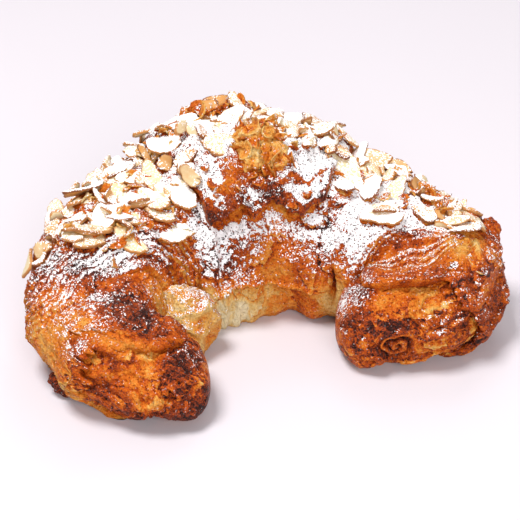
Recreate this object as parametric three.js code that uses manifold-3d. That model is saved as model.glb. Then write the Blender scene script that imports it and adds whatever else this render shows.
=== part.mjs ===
// Almond croissant: a crescent of rolled dough with a torn flap on top and flaked almonds fused to it.
// Millimetres, +Z up, the table at z = 0. The horns point towards -Y.

import * as THREE from "three";
import Module from "manifold-3d";
import { mergeVertices } from "three/addons/utils/BufferGeometryUtils.js";

// Centre line of the roll on the table, from the tip of the left horn to the tip of the right one
const SPINE_POINTS = [
  [-17, -46],
  [-41, -50],
  [-54, -28],
  [-51, 2],
  [-28, 24],
  [0, 29],
  [28, 21],
  [51, 12],
  [62, -4],
  [48, -18],
  [26, -18],
];
const SPINE_DIVISIONS = 400;
const BEND_STEP = 0.01;

// Cross-section of the roll: thickest in the middle, with a squarer foot on its inner side
const MID_SHARE = 0.52;
const MID_HEIGHT = 60;
const TIP_HEIGHT = 21;
const HEIGHT_POWER = 1.15;
const MID_HALF_WIDTH = 31;
const TIP_HALF_WIDTH = 13;
const WIDTH_POWER = 1.6;
const CENTRE_SHARE = 0.42;
const BASE_SINK = 2;
const TOP_POWER = 2.25;
const OUTER_BASE_POWER = 1.65;
const INNER_BASE_POWER = 5;
const BEND_SHARE = 0.85;
const BEND_POWER = 6;

// Waves that make the roll uneven: radians for its whole length, turns round it and a start
const UNEVEN = 0.55;
const WAVES = [
  { along: 37, around: 2, start: 1.3 },
  { along: 61, around: -3, start: 4.1 },
  { along: 113, around: 4, start: 0.4 },
];

// Wraps of dough. An edge is given by its shares of the spine on the outer side and on the inner side of the
// roll, and by the angles between which it crosses over. A size scales the section at the start and finish.
const WRAPS = {
  middle: {
    start: { outer: 0.29, inner: 0.368, from: 0, to: 180, end: "lip" },
    finish: { outer: 0.745, inner: 0.685, from: 0, to: 180, end: "lip" },
    size: { start: 1, finish: 0.99, crown: 0.02 },
    rows: 9,
    shelf: { angle: 192, foot: 4, fade: 206, back: 232, drop: 3, from: 0.385, to: 0.7, blend: 0.03 },
  },
  leftShoulder: {
    start: { outer: 0.155, inner: 0.225, from: 40, to: 180, end: "lip" },
    finish: { outer: 0.42, inner: 0.44, from: 0, to: 180, end: "tucked" },
    size: { start: 1.06, finish: 0.9, crown: 0.04 },
    rows: 7,
  },
  leftLeg: {
    start: { outer: 0.125, inner: 0.042, from: 25, to: 90, end: "lip" },
    finish: { outer: 0.3, inner: 0.34, from: 0, to: 180, end: "tucked" },
    size: { start: 1.04, finish: 0.8, crown: 0.04 },
    rows: 8,
  },
  leftHorn: {
    start: { outer: 0, inner: 0, from: 0, to: 180, end: "tip" },
    finish: { outer: 0.22, inner: 0.2, from: 0, to: 180, end: "tucked" },
    size: { start: 0.98, finish: 0.88, crown: 0.02 },
    rows: 6,
  },
  rightShoulder: {
    start: { outer: 0.62, inner: 0.6, from: 0, to: 180, end: "tucked" },
    finish: { outer: 0.852, inner: 0.82, from: 120, to: 180, end: "lip" },
    size: { start: 0.84, finish: 1.03, crown: 0.05 },
    rows: 7,
  },
  rightDrape: {
    start: { outer: 0.78, inner: 0.78, from: 0, to: 180, end: "tucked" },
    finish: { outer: 0.875, inner: 0.965, from: 50, to: 80, end: "lip" },
    size: { start: 0.98, finish: 1.14, crown: 0.02 },
    rows: 6,
  },
  rightHorn: {
    start: { outer: 0.74, inner: 0.885, from: 0, to: 180, end: "tucked" },
    finish: { outer: 1, inner: 1, from: 0, to: 180, end: "tip" },
    size: { start: 0.78, finish: 1.02, crown: 0.04 },
    rows: 8,
  },
};
const COLUMNS = 24;

// Ends of the wraps: a rounded lip with a wall below it and thin layers stepping down to it, or a rounded tip
const LIP_RADIUS = 2.4;
const LIP_TUCK = 1.8;
const LIP_WALL = 3.6;
const LIP_ARCS = 2;
const TIP_RADIUS = 9;
const TIP_ARCS = 4;
const LAYERS = 2;
const LAYER_RUN = 4;
const LAYER_RISE = 0.7;
const LAYER_EDGE = 0.8;
const RAGGED = 0.9;
const RAGGED_WAVES = [3, 5];
const RAGGED_START = 90;

// The torn flap on top of the middle, rooted at its back angle. The corners of its lifted front lip are given by
// their shares of the spine and their angles round the roll.
const FLAP = {
  from: 0.405,
  to: 0.668,
  backAngle: 15,
  lip: [
    { share: 0.405, angle: 147 },
    { share: 0.51, angle: 143 },
    { share: 0.548, angle: 150 },
    { share: 0.588, angle: 139 },
    { share: 0.643, angle: 141 },
    { share: 0.668, angle: 127 },
  ],
  thickness: 4.2,
  sideRise: 3,
  sideRun: 4,
  rootDepth: 3,
  lipGap: 1.8,
  rows: 13,
  columns: 8,
};

// Lumps: where each sits, its half sizes and its turn about the vertical
const LUMPS = {
  paleBump: { at: [-28, -17, 11], half: [12, 10, 14], turn: -20 },
  paleFront: { at: [-9, 2, 8], half: [15, 8, 12], turn: 5 },
  bakedDrip: { at: [-62, -42, 4.5], half: [5.5, 4.5, 5], turn: 20 },
  sideBump: { at: [78, 9, 29], half: [4, 4.5, 5], turn: 0 },
  crumbHigh: { at: [-1, 14, 60], half: [8, 6, 6.5], turn: 15 },
  crumbLow: { at: [-2.5, 8.5, 57], half: [6, 5, 6], turn: -10 },
  crumbSide: { at: [4.5, 9.5, 57], half: [5, 5, 5], turn: 40 },
};
const LUMP_SIDES = 10;
const LUMP_RINGS = 6;
const LUMP_UNEVEN = 0.07;
const LUMP_WAVES = [4, 5, 3];

// Flaked almonds: a flake is a thin oval slice, a little narrower at one end. Yaw is the compass angle of its
// length from +X, and lean the compass angle towards which its face is tilted.
const FLAKE_SIDES = 8;
const FLAKE_TAPER = 0.22;
const FLAKE_THICKNESS = 1.3;
const FLAKE_SUNK = 0.9;
const FLAKE_UPRIGHT = 0.5;
const FLAKE_RISE = 0.2;

// The large flakes that lie in plain sight
const LARGE_FLAKES = [
  { share: 0.334, angle: 106, length: 19, width: 10, yaw: 8, tilt: 8, lean: 120 },
  { share: 0.34, angle: 124, length: 14, width: 9, yaw: -5, tilt: 10, lean: 90 },
  { share: 0.342, angle: 138, length: 16, width: 9, yaw: 20, tilt: 6, lean: -90 },
  { share: 0.246, angle: 85, length: 19, width: 9, yaw: 6, tilt: 16, lean: 90 },
  { share: 0.229, angle: 86, length: 13, width: 7, yaw: 14, tilt: 10, lean: 60 },
  { share: 0.238, angle: 114, length: 14, width: 7, yaw: -38, tilt: 6, lean: -60 },
  { share: 0.27, angle: 100, length: 15, width: 6, yaw: -45, tilt: 28, lean: 40 },
  { share: 0.345, angle: 74, length: 18, width: 11, yaw: 50, tilt: 10, lean: -90 },
  { share: 0.493, angle: 95, length: 16, width: 9, yaw: 5, tilt: 8, lean: -90 },
  { share: 0.49, angle: 113, length: 16, width: 9, yaw: -15, tilt: 16, lean: -90 },
  { share: 0.475, angle: 74, length: 15, width: 8, yaw: 25, tilt: 34, lean: -110 },
  { share: 0.505, angle: 68, length: 14, width: 8, yaw: -10, tilt: 40, lean: -70 },
  { share: 0.678, angle: 97, length: 18, width: 9, yaw: -50, tilt: 22, lean: -100 },
  { share: 0.71, angle: 66, length: 16, width: 8, yaw: -45, tilt: 42, lean: -140 },
  { share: 0.735, angle: 60, length: 15, width: 7, yaw: -50, tilt: 38, lean: -120 },
  { share: 0.765, angle: 116, length: 17, width: 10, yaw: 8, tilt: 5, lean: -90 },
  { share: 0.813, angle: 72, length: 9, width: 7, yaw: -25, tilt: 10, lean: -80 },
  { share: 0.805, angle: 52, length: 19, width: 8, yaw: -38, tilt: 16, lean: 45 },
  { share: 0.822, angle: 54, length: 14, width: 8, yaw: -40, tilt: 14, lean: 20 },
  { share: 0.255, angle: 18, length: 13, width: 8, yaw: 90, tilt: 55, lean: 180 },
];

// The rest are spread over the top of the roll by a rule
const SPREAD_COUNT = 54;
const SPREAD_LENGTHS = [9, 16];
const SPREAD_WIDTHS = [5.5, 9];
const SPREAD_TILTS = [4, 32];
const SPREAD_FIRST = 0.236;
const SPREAD_LAST = 0.835;
const SPREAD_BACK = 38;
const SPREAD_FRONT = 122;
const SPREAD_FLAP_FRONT = 100;
const SPREAD_END_FRONT = 88;
const SPREAD_END_RUN = 0.06;
const SPREAD_FLAP_RUN = 0.04;
const SPREAD_START = 0.5;
const SPREAD_STEPS = [0.7548776662466927, 0.5698402909980532];
const DRAW_SCALE = 43758.5453;
const DRAW_STEPS = [12.9898, 78.233];
const DRAWS = { length: 1, width: 2, yaw: 3, tilt: 4, lean: 5 };

// Steps over which the slope of the crust is taken
const SLOPE_SHARE = 0.012;
const SLOPE_ANGLE = 5;

// Middle of the croissant's outline, which becomes the origin
const MIDDLE = [2.27, -2.48];

const TABLE_DEPTH = 40;
const CRUST = { color: 0xb5692f, roughness: 0.6, metalness: 0 };

const DEGREE = Math.PI / 180;
const TURN = 2 * Math.PI;

const wasm = await Module();
wasm.setup();

const mix = (a, b, share) => a + (b - a) * share;
const clamp = (value) => THREE.MathUtils.clamp(value, 0, 1);
const ramp = (value) => THREE.MathUtils.smoothstep(value, 0, 1);
const fraction = (value) => value - Math.floor(value);

// A smooth curve pulled by the spine points, starting and ending on the first and last of them
class Spine extends THREE.Curve {
  constructor(points) {
    super();
    this.points = points.map(([x, y]) => new THREE.Vector3(x, y, 0));
    this.arcLengthDivisions = SPINE_DIVISIONS;
  }

  control(index) {
    const last = this.points.length - 1;
    if (index < 0) {
      return this.points[0].clone().multiplyScalar(2).sub(this.points[1]);
    }
    if (index > last) {
      return this.points[last].clone().multiplyScalar(2).sub(this.points[last - 1]);
    }
    return this.points[index];
  }

  // A uniform cubic B-spline
  getPoint(t) {
    const spans = this.points.length - 1;
    const span = Math.min(Math.floor(t * spans), spans - 1);
    const f = t * spans - span;
    const weights = [
      (1 - f) ** 3,
      3 * f ** 3 - 6 * f ** 2 + 4,
      -3 * f ** 3 + 3 * f ** 2 + 3 * f + 1,
      f ** 3,
    ];
    const point = new THREE.Vector3();
    weights.forEach((weight, k) => point.addScaledVector(this.control(span - 1 + k), weight / 6));
    return point;
  }
}

const spine = new Spine(SPINE_POINTS);
const LENGTH = spine.getLength();

function outwardAt(share) {
  const tangent = spine.getTangentAt(clamp(share));
  return new THREE.Vector3(-tangent.y, tangent.x, 0);
}

// Radius of the spine's bend
function bendRadius(share) {
  const before = clamp(share - BEND_STEP);
  const after = clamp(share + BEND_STEP);
  const turned = outwardAt(before).angleTo(outwardAt(after));
  return ((after - before) * LENGTH) / Math.max(turned, Number.EPSILON);
}

// Distance from the thickest place, as a share of the way to the tip
function thinning(share) {
  const along = clamp(share) - MID_SHARE;
  return Math.abs(along) / (along < 0 ? MID_SHARE : 1 - MID_SHARE);
}

function sectionHeight(share) {
  return mix(MID_HEIGHT, TIP_HEIGHT, thinning(share) ** HEIGHT_POWER);
}

// Angles run round the roll: 0 is its outer side, 90 degrees the top and 180 the inner side
function sectionRadius(share, angle) {
  const halfWidth = mix(MID_HALF_WIDTH, TIP_HALF_WIDTH, thinning(share) ** WIDTH_POWER);
  const height = sectionHeight(share);
  const above = Math.sin(angle) > 0;
  const reach = above ? height * (1 - CENTRE_SHARE) : height * CENTRE_SHARE + BASE_SINK;
  const basePower = Math.cos(angle) > 0 ? OUTER_BASE_POWER : INNER_BASE_POWER;
  const power = above ? TOP_POWER : basePower;
  const across = Math.abs(Math.cos(angle)) / halfWidth;
  const upright = Math.abs(Math.sin(angle)) / reach;
  return (across ** power + upright ** power) ** (-1 / power);
}

// The inner side of a tight bend stops short of the bend's centre
function withinBend(radius, share, angle) {
  const inward = -Math.cos(angle);
  if (inward <= 0) {
    return radius;
  }
  const limit = (BEND_SHARE * bendRadius(share)) / inward;
  return (radius ** -BEND_POWER + limit ** -BEND_POWER) ** (-1 / BEND_POWER);
}

function unevenness(share, angle) {
  const height = ({ along, around, start }) => Math.sin(along * share + around * angle + start);
  return UNEVEN * WAVES.reduce((sum, wave) => sum + height(wave), 0);
}

// Angle from the outer side of the roll in degrees, over the top or under the base alike
function outerAngle(angle) {
  return Math.acos(Math.cos(angle)) / DEGREE;
}

function edgeShare(edge, angle) {
  const crossing = ramp((outerAngle(angle) - edge.from) / (edge.to - edge.from));
  const share = mix(edge.outer, edge.inner, crossing);
  if (edge.end !== "lip") {
    return share;
  }
  const start = RAGGED_START * edge.inner;
  const ragged = RAGGED_WAVES.reduce((sum, wave) => sum + Math.sin(wave * angle + start), 0);
  return share + (RAGGED * ragged) / LENGTH;
}

// Thin layers end one after another towards a lip
function layerDrop(edge, run) {
  if (edge.end !== "lip") {
    return 0;
  }
  let drop = 0;
  for (let layer = 1; layer <= LAYERS; layer += 1) {
    const top = LIP_RADIUS + layer * LAYER_RUN;
    drop += LAYER_RISE * (1 - ramp((run - top + LAYER_EDGE) / LAYER_EDGE));
  }
  return drop;
}

// Below the shelf's angle the roll steps in to the wrap underneath, which spreads again at its foot
function shelfDrop(shelf, share, angle) {
  const turned = THREE.MathUtils.euclideanModulo(angle / DEGREE, 360);
  const below = ramp((turned - shelf.angle) / shelf.foot);
  const above = ramp((shelf.back - turned) / (shelf.back - shelf.fade));
  const along = ramp((share - shelf.from) / shelf.blend) * ramp((shelf.to - share) / shelf.blend);
  return shelf.drop * below * above * along;
}

function wrapRadius(wrap, share, angle) {
  const first = edgeShare(wrap.start, angle);
  const last = edgeShare(wrap.finish, angle);
  const along = clamp((share - first) / (last - first));
  const crown = wrap.size.crown * 4 * along * (1 - along);
  const size = mix(wrap.size.start, wrap.size.finish, along) + crown;
  let radius = sectionRadius(share, angle) * size + unevenness(share, angle);
  radius -= layerDrop(wrap.start, (share - first) * LENGTH);
  radius -= layerDrop(wrap.finish, (last - share) * LENGTH);
  if (wrap.shelf) {
    radius -= shelfDrop(wrap.shelf, share, angle);
  }
  return withinBend(radius, share, angle);
}

function placeAt(share, angle, radius) {
  const point = spine.getPointAt(clamp(share));
  point.addScaledVector(outwardAt(share), radius * Math.cos(angle));
  point.z = sectionHeight(share) * CENTRE_SHARE + radius * Math.sin(angle);
  return point;
}

// Rows from an end of a wrap inwards: the run from its edge and the drop below its surface
function endRows(edge) {
  if (edge.end === "tucked") {
    return [{ run: 0, drop: 0 }];
  }
  const isLip = edge.end === "lip";
  const radius = isLip ? LIP_RADIUS : TIP_RADIUS;
  const arcs = isLip ? LIP_ARCS : TIP_ARCS;
  const rows = isLip ? [{ run: LIP_TUCK, drop: LIP_RADIUS + LIP_WALL }] : [];
  for (let k = 0; k <= arcs; k += 1) {
    const angle = (k / arcs) * (Math.PI / 2);
    rows.push({ run: radius * (1 - Math.cos(angle)), drop: radius * (1 - Math.sin(angle)) });
  }
  for (let layer = 1; isLip && layer <= LAYERS; layer += 1) {
    const top = LIP_RADIUS + layer * LAYER_RUN;
    rows.push({ run: top - LAYER_EDGE, drop: 0 }, { run: top, drop: 0 });
  }
  return rows;
}

// Columns run round a wrap, with one on each side of its shelf's step
function wrapAngles(wrap) {
  const first = wrap.shelf ? wrap.shelf.angle + wrap.shelf.foot : 0;
  const sweep = wrap.shelf ? 360 - wrap.shelf.foot : 360 - 360 / COLUMNS;
  return Array.from({ length: COLUMNS }, (_, k) => (first + (sweep * k) / (COLUMNS - 1)) * DEGREE);
}

// Shares and drops of one column of a wrap, from its start to its finish
function wrapColumn(wrap, angle) {
  const first = edgeShare(wrap.start, angle);
  const last = edgeShare(wrap.finish, angle);
  const head = endRows(wrap.start).map(({ run, drop }) => ({ share: first + run / LENGTH, drop }));
  const tail = endRows(wrap.finish).map(({ run, drop }) => ({ share: last - run / LENGTH, drop }));
  tail.reverse();
  const inner = Array.from({ length: wrap.rows }, (_, k) => ({
    share: mix(head.at(-1).share, tail[0].share, (k + 1) / (wrap.rows + 1)),
    drop: 0,
  }));
  return [...head, ...inner, ...tail];
}

function solidFrom(positions, indices) {
  const mesh = new wasm.Mesh({
    numProp: 3,
    vertProperties: Float32Array.from(positions),
    triVerts: Uint32Array.from(indices),
  });
  return new wasm.Manifold(mesh);
}

function solidFromGeometry(geometry) {
  geometry.deleteAttribute("normal");
  geometry.deleteAttribute("uv");
  const merged = mergeVertices(geometry);
  return solidFrom(merged.attributes.position.array, merged.index.array);
}

// A wrap is a band of rings round the spine, closed by a fan at each end
function wrapSolid(wrap) {
  const angles = wrapAngles(wrap);
  const columns = angles.map((angle) => wrapColumn(wrap, angle));
  const rows = columns[0].length;
  const positions = [];
  for (let row = 0; row < rows; row += 1) {
    columns.forEach((column, k) => {
      const { share, drop } = column[row];
      const radius = wrapRadius(wrap, share, angles[k]) - drop;
      positions.push(...placeAt(share, angles[k], radius).toArray());
    });
  }
  const indices = [];
  for (let row = 0; row + 1 < rows; row += 1) {
    for (let k = 0; k < COLUMNS; k += 1) {
      const a = row * COLUMNS + k;
      const b = row * COLUMNS + ((k + 1) % COLUMNS);
      const c = a + COLUMNS;
      const d = b + COLUMNS;
      indices.push(a, b, c, b, d, c);
    }
  }
  [0, rows - 1].forEach((row, atFinish) => {
    const share = columns.reduce((sum, column) => sum + column[row].share, 0) / COLUMNS;
    const pole = positions.length / 3;
    positions.push(...placeAt(share, 0, 0).toArray());
    for (let k = 0; k < COLUMNS; k += 1) {
      const a = row * COLUMNS + k;
      const b = row * COLUMNS + ((k + 1) % COLUMNS);
      indices.push(pole, ...(atFinish ? [a, b] : [b, a]));
    }
  });
  return solidFrom(positions, indices);
}

// Radius of the outermost wrap along a ray from the spine
function rollRadius(share, angle) {
  const reaches = Object.values(WRAPS).map((wrap) => {
    const inside = share >= edgeShare(wrap.start, angle) && share <= edgeShare(wrap.finish, angle);
    return inside ? wrapRadius(wrap, share, angle) : 0;
  });
  return Math.max(...reaches);
}

// Angle of the flap's torn front lip, straight between its corners
function flapFront(share) {
  const last = FLAP.lip.length - 1;
  const next = FLAP.lip.findIndex((corner, k) => k === last || (k > 0 && corner.share >= share));
  const before = FLAP.lip[next - 1];
  const after = FLAP.lip[next];
  return mix(before.angle, after.angle, clamp((share - before.share) / (after.share - before.share)));
}

// Radius of the flap's upper face: rooted in the roll at the back, lifted off it at the front
function flapRadius(share, angle) {
  const across = clamp((angle / DEGREE - FLAP.backAngle) / (flapFront(share) - FLAP.backAngle));
  const inside = Math.min(share - FLAP.from, FLAP.to - share) * LENGTH;
  const rise = mix(FLAP.sideRise, FLAP.thickness, ramp(inside / FLAP.sideRun));
  const lift = mix(-FLAP.rootDepth, FLAP.lipGap, ramp(across));
  return wrapRadius(WRAPS.middle, share, angle) + lift + rise;
}

// The flap is an upper and an under face, joined round their rim
function flapSolid() {
  const { rows, columns } = FLAP;
  const positions = [];
  for (const depth of [0, FLAP.thickness]) {
    for (let row = 0; row < rows; row += 1) {
      const share = mix(FLAP.from, FLAP.to, row / (rows - 1));
      for (let k = 0; k < columns; k += 1) {
        const angle = mix(FLAP.backAngle, flapFront(share), k / (columns - 1)) * DEGREE;
        positions.push(...placeAt(share, angle, flapRadius(share, angle) - depth).toArray());
      }
    }
  }
  const under = rows * columns;
  const indices = [];
  for (let row = 0; row + 1 < rows; row += 1) {
    for (let k = 0; k + 1 < columns; k += 1) {
      const a = row * columns + k;
      const b = a + 1;
      const c = a + columns;
      const d = c + 1;
      indices.push(a, b, c, b, d, c);
      indices.push(under + a, under + c, under + b, under + b, under + c, under + d);
    }
  }
  const acrossFirst = Array.from({ length: columns }, (_, k) => k);
  const alongFront = Array.from({ length: rows - 2 }, (_, k) => (k + 2) * columns - 1);
  const acrossLast = acrossFirst.map((k) => under - 1 - k);
  const alongBack = Array.from({ length: rows - 2 }, (_, k) => (rows - 2 - k) * columns);
  const rim = [...acrossFirst, ...alongFront, ...acrossLast, ...alongBack];
  rim.forEach((a, k) => {
    const b = rim[(k + 1) % rim.length];
    indices.push(b, a, under + a, b, under + a, under + b);
  });
  return solidFrom(positions, indices);
}

// A rounded lump with a gently uneven surface
function lumpSolid(lump) {
  const geometry = new THREE.SphereGeometry(1, LUMP_SIDES, LUMP_RINGS);
  geometry.rotateX(Math.PI / 2);
  const [waveX, waveY, waveZ] = LUMP_WAVES;
  const place = geometry.attributes.position;
  const point = new THREE.Vector3();
  for (let k = 0; k < place.count; k += 1) {
    point.fromBufferAttribute(place, k);
    const swell = Math.sin(waveX * point.x + lump.turn) + Math.sin(waveY * point.y + waveZ * point.z);
    point.multiplyScalar(1 + LUMP_UNEVEN * swell);
    place.setXYZ(k, point.x, point.y, point.z);
  }
  geometry.scale(...lump.half);
  geometry.rotateZ(lump.turn * DEGREE);
  geometry.translate(...lump.at);
  return solidFromGeometry(geometry);
}

// A repeatable draw from 0 to 1 for one quality of one flake
function draw(index, quality) {
  const [flakeStep, qualityStep] = DRAW_STEPS;
  return fraction(Math.sin(index * flakeStep + quality * qualityStep) * DRAW_SCALE);
}

// Outer surface that the flakes lie on
function crustRadius(share, angle) {
  const turned = angle / DEGREE;
  const along = share > FLAP.from && share < FLAP.to;
  const onFlap = along && turned > FLAP.backAngle && turned < flapFront(share);
  return Math.max(rollRadius(share, angle), onFlap ? flapRadius(share, angle) : 0);
}

function crustNormal(share, angle) {
  const swing = SLOPE_ANGLE * DEGREE;
  const at = (s, a) => placeAt(s, a, crustRadius(s, a));
  const along = at(share + SLOPE_SHARE, angle).sub(at(share - SLOPE_SHARE, angle));
  const around = at(share, angle + swing).sub(at(share, angle - swing));
  return around.cross(along).normalize();
}

// How far forward the spread flakes reach: less on the flap and towards the horns
function spreadFront(share) {
  const onFlap = ramp((share - FLAP.from) / SPREAD_FLAP_RUN) * ramp((FLAP.to - share) / SPREAD_FLAP_RUN);
  const nearEnd = 1 - ramp(Math.min(share - SPREAD_FIRST, SPREAD_LAST - share) / SPREAD_END_RUN);
  return mix(mix(SPREAD_FRONT, SPREAD_FLAP_FRONT, onFlap), SPREAD_END_FRONT, nearEnd);
}

function spreadFlake(index) {
  const [stepAlong, stepAcross] = SPREAD_STEPS;
  const share = mix(SPREAD_FIRST, SPREAD_LAST, fraction(SPREAD_START + index * stepAlong));
  return {
    share,
    angle: mix(SPREAD_BACK, spreadFront(share), fraction(SPREAD_START + index * stepAcross)),
    length: mix(...SPREAD_LENGTHS, draw(index, DRAWS.length)),
    width: mix(...SPREAD_WIDTHS, draw(index, DRAWS.width)),
    yaw: 360 * draw(index, DRAWS.yaw),
    tilt: mix(...SPREAD_TILTS, draw(index, DRAWS.tilt)),
    lean: 360 * draw(index, DRAWS.lean),
  };
}

function flakeGeometry(length, width) {
  const outline = Array.from({ length: FLAKE_SIDES }, (_, k) => {
    const angle = (TURN * (k + 0.5)) / FLAKE_SIDES;
    const across = Math.sin(angle) * (1 - FLAKE_TAPER * Math.cos(angle));
    return new THREE.Vector2((length / 2) * Math.cos(angle), (width / 2) * across);
  });
  const shape = new THREE.Shape(outline);
  const geometry = new THREE.ExtrudeGeometry(shape, { depth: FLAKE_THICKNESS, bevelEnabled: false });
  return geometry.translate(0, 0, -FLAKE_THICKNESS / 2);
}

function compass(degrees) {
  return new THREE.Vector3(Math.cos(degrees * DEGREE), Math.sin(degrees * DEGREE), 0);
}

// A flake lies on the crust, tilted, with its lower rim sunk in
function flakeSolid(flake) {
  const angle = flake.angle * DEGREE;
  const tilt = flake.tilt * DEGREE;
  const up = new THREE.Vector3(0, 0, FLAKE_UPRIGHT);
  const rest = crustNormal(flake.share, angle).multiplyScalar(1 - FLAKE_UPRIGHT).add(up).normalize();
  const normal = rest.clone().multiplyScalar(Math.cos(tilt));
  normal.addScaledVector(compass(flake.lean), Math.sin(tilt)).normalize();
  const along = compass(flake.yaw).projectOnPlane(normal).normalize();
  const across = normal.clone().cross(along);
  const rise = FLAKE_RISE * (flake.length + flake.width) * Math.sin(tilt);
  const centre = placeAt(flake.share, angle, crustRadius(flake.share, angle));
  centre.addScaledVector(rest, rise - FLAKE_SUNK + FLAKE_THICKNESS / 2);
  const geometry = flakeGeometry(flake.length, flake.width);
  geometry.applyMatrix4(new THREE.Matrix4().makeBasis(along, across, normal).setPosition(centre));
  return solidFromGeometry(geometry);
}

// The space below the table, wider than the croissant all round
function tableSolid({ min, max }) {
  const width = max[0] - min[0] + TABLE_DEPTH;
  const depth = max[1] - min[1] + TABLE_DEPTH;
  const geometry = new THREE.BoxGeometry(width, depth, TABLE_DEPTH);
  geometry.translate((min[0] + max[0]) / 2, (min[1] + max[1]) / 2, -TABLE_DEPTH / 2);
  return solidFromGeometry(geometry);
}

// The largest closed surface alone: sealed hollows are filled and loose scraps dropped
function largestBody(solid) {
  const bodies = solid.decompose();
  return bodies.reduce((largest, body) => (body.volume() > largest.volume() ? body : largest));
}

// The whole croissant, centred over the origin
function croissantGeometry() {
  const spread = Array.from({ length: SPREAD_COUNT }, (_, index) => spreadFlake(index));
  const flakes = [...LARGE_FLAKES, ...spread].map(flakeSolid);
  const wraps = Object.values(WRAPS).map(wrapSolid);
  const lumps = Object.values(LUMPS).map(lumpSolid);
  const solids = [...wraps, flapSolid(), ...lumps, ...flakes];
  const joined = solids.reduce((whole, solid) => whole.add(solid));
  const body = largestBody(joined.subtract(tableSolid(joined.boundingBox())));
  const { vertProperties, triVerts } = body.getMesh();
  const geometry = new THREE.BufferGeometry();
  geometry.setAttribute("position", new THREE.BufferAttribute(vertProperties, 3));
  geometry.setIndex(new THREE.BufferAttribute(triVerts, 1));
  geometry.translate(-MIDDLE[0], -MIDDLE[1], 0);
  geometry.computeVertexNormals();
  return geometry;
}

const croissant = new THREE.Mesh(croissantGeometry(), new THREE.MeshStandardMaterial(CRUST));
croissant.name = "croissant";

const part = new THREE.Group();
part.add(croissant);

export default part;
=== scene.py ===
"""Almond croissant: wraps of laminated dough, a torn flap, flaked almonds and icing sugar.

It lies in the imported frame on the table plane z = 0, with its horns towards -Y. Sizes are in
millimetres and angles in degrees unless a name says otherwise; meshes are scaled to metres at the end.
"""

from __future__ import annotations

import itertools
import logging
import math
from dataclasses import dataclass, field
from enum import Enum
from typing import Any, Sequence

import bpy
import numpy as np
from mathutils import Matrix, Vector
from mathutils.bvhtree import BVHTree


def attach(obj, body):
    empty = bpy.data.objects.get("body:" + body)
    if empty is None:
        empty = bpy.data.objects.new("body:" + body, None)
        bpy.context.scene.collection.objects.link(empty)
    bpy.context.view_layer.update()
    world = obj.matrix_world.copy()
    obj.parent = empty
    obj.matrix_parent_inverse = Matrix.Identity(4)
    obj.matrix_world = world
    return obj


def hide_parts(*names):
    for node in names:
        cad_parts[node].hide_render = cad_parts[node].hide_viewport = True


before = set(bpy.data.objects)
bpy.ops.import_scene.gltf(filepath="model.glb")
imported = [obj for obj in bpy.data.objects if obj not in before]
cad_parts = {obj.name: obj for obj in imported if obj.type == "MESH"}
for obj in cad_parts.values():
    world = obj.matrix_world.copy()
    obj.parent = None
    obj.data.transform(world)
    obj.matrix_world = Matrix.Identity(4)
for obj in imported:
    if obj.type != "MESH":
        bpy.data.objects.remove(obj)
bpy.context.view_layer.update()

LOG = logging.getLogger("almond_croissant")

NODE = "croissant"
BODY = "root"
CRUMB_NAME = "crumb"

MM = 0.001
FULL_TURN = 360.0
HALF_TURN = 180.0
OUTLINE_MIDDLE = (2.27, -2.48, 0.0)
TINY = 1e-9

Array = np.ndarray
Piece = bpy.types.Object
Material = bpy.types.Material
Socket = bpy.types.NodeSocket
Range = tuple[float, float]
Parts = tuple[Range, ...]
Triple = tuple[float, float, float]
Tint = tuple[float, float, float, float]


class Slot(Enum):
    """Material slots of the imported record."""

    CRUST = "crust"
    CRUMB = "crumb"
    ALMOND = "almond"
    SUGAR = "sugar"


class EdgeEnd(Enum):
    """How a wrap of dough ends."""

    LIP = "lip"
    TIP = "tip"
    TUCKED = "tucked"


def ramp(value: Array | float) -> Array:
    """Smooth step from 0 to 1."""
    share = np.clip(value, 0.0, 1.0)
    return share * share * (3.0 - 2.0 * share)


def mix(first: Any, second: Any, share: Any) -> Any:
    """Straight blend of two values."""
    return first + (second - first) * share


def onset(value: Array, bounds: Range) -> Array:
    """Smooth step from 0 to 1 that begins at a value and takes a run."""
    start, run = bounds
    return ramp((value - start) / run)


def unit(vectors: Array) -> Array:
    """Vectors scaled to length 1."""
    return vectors / np.maximum(np.linalg.norm(vectors, axis=-1, keepdims=True), TINY)


def compass(degrees: float) -> Array:
    """Level direction at an angle from +X."""
    return np.array([math.cos(math.radians(degrees)), math.sin(math.radians(degrees)), 0.0])


def linear(red: int, green: int, blue: int) -> Tint:
    """Scene-linear colour of an 8-bit display colour."""
    parts = (part / 255.0 for part in (red, green, blue))
    return (*(p / 12.92 if p <= 0.04045 else ((p + 0.055) / 1.055) ** 2.4 for p in parts), 1.0)


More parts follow.
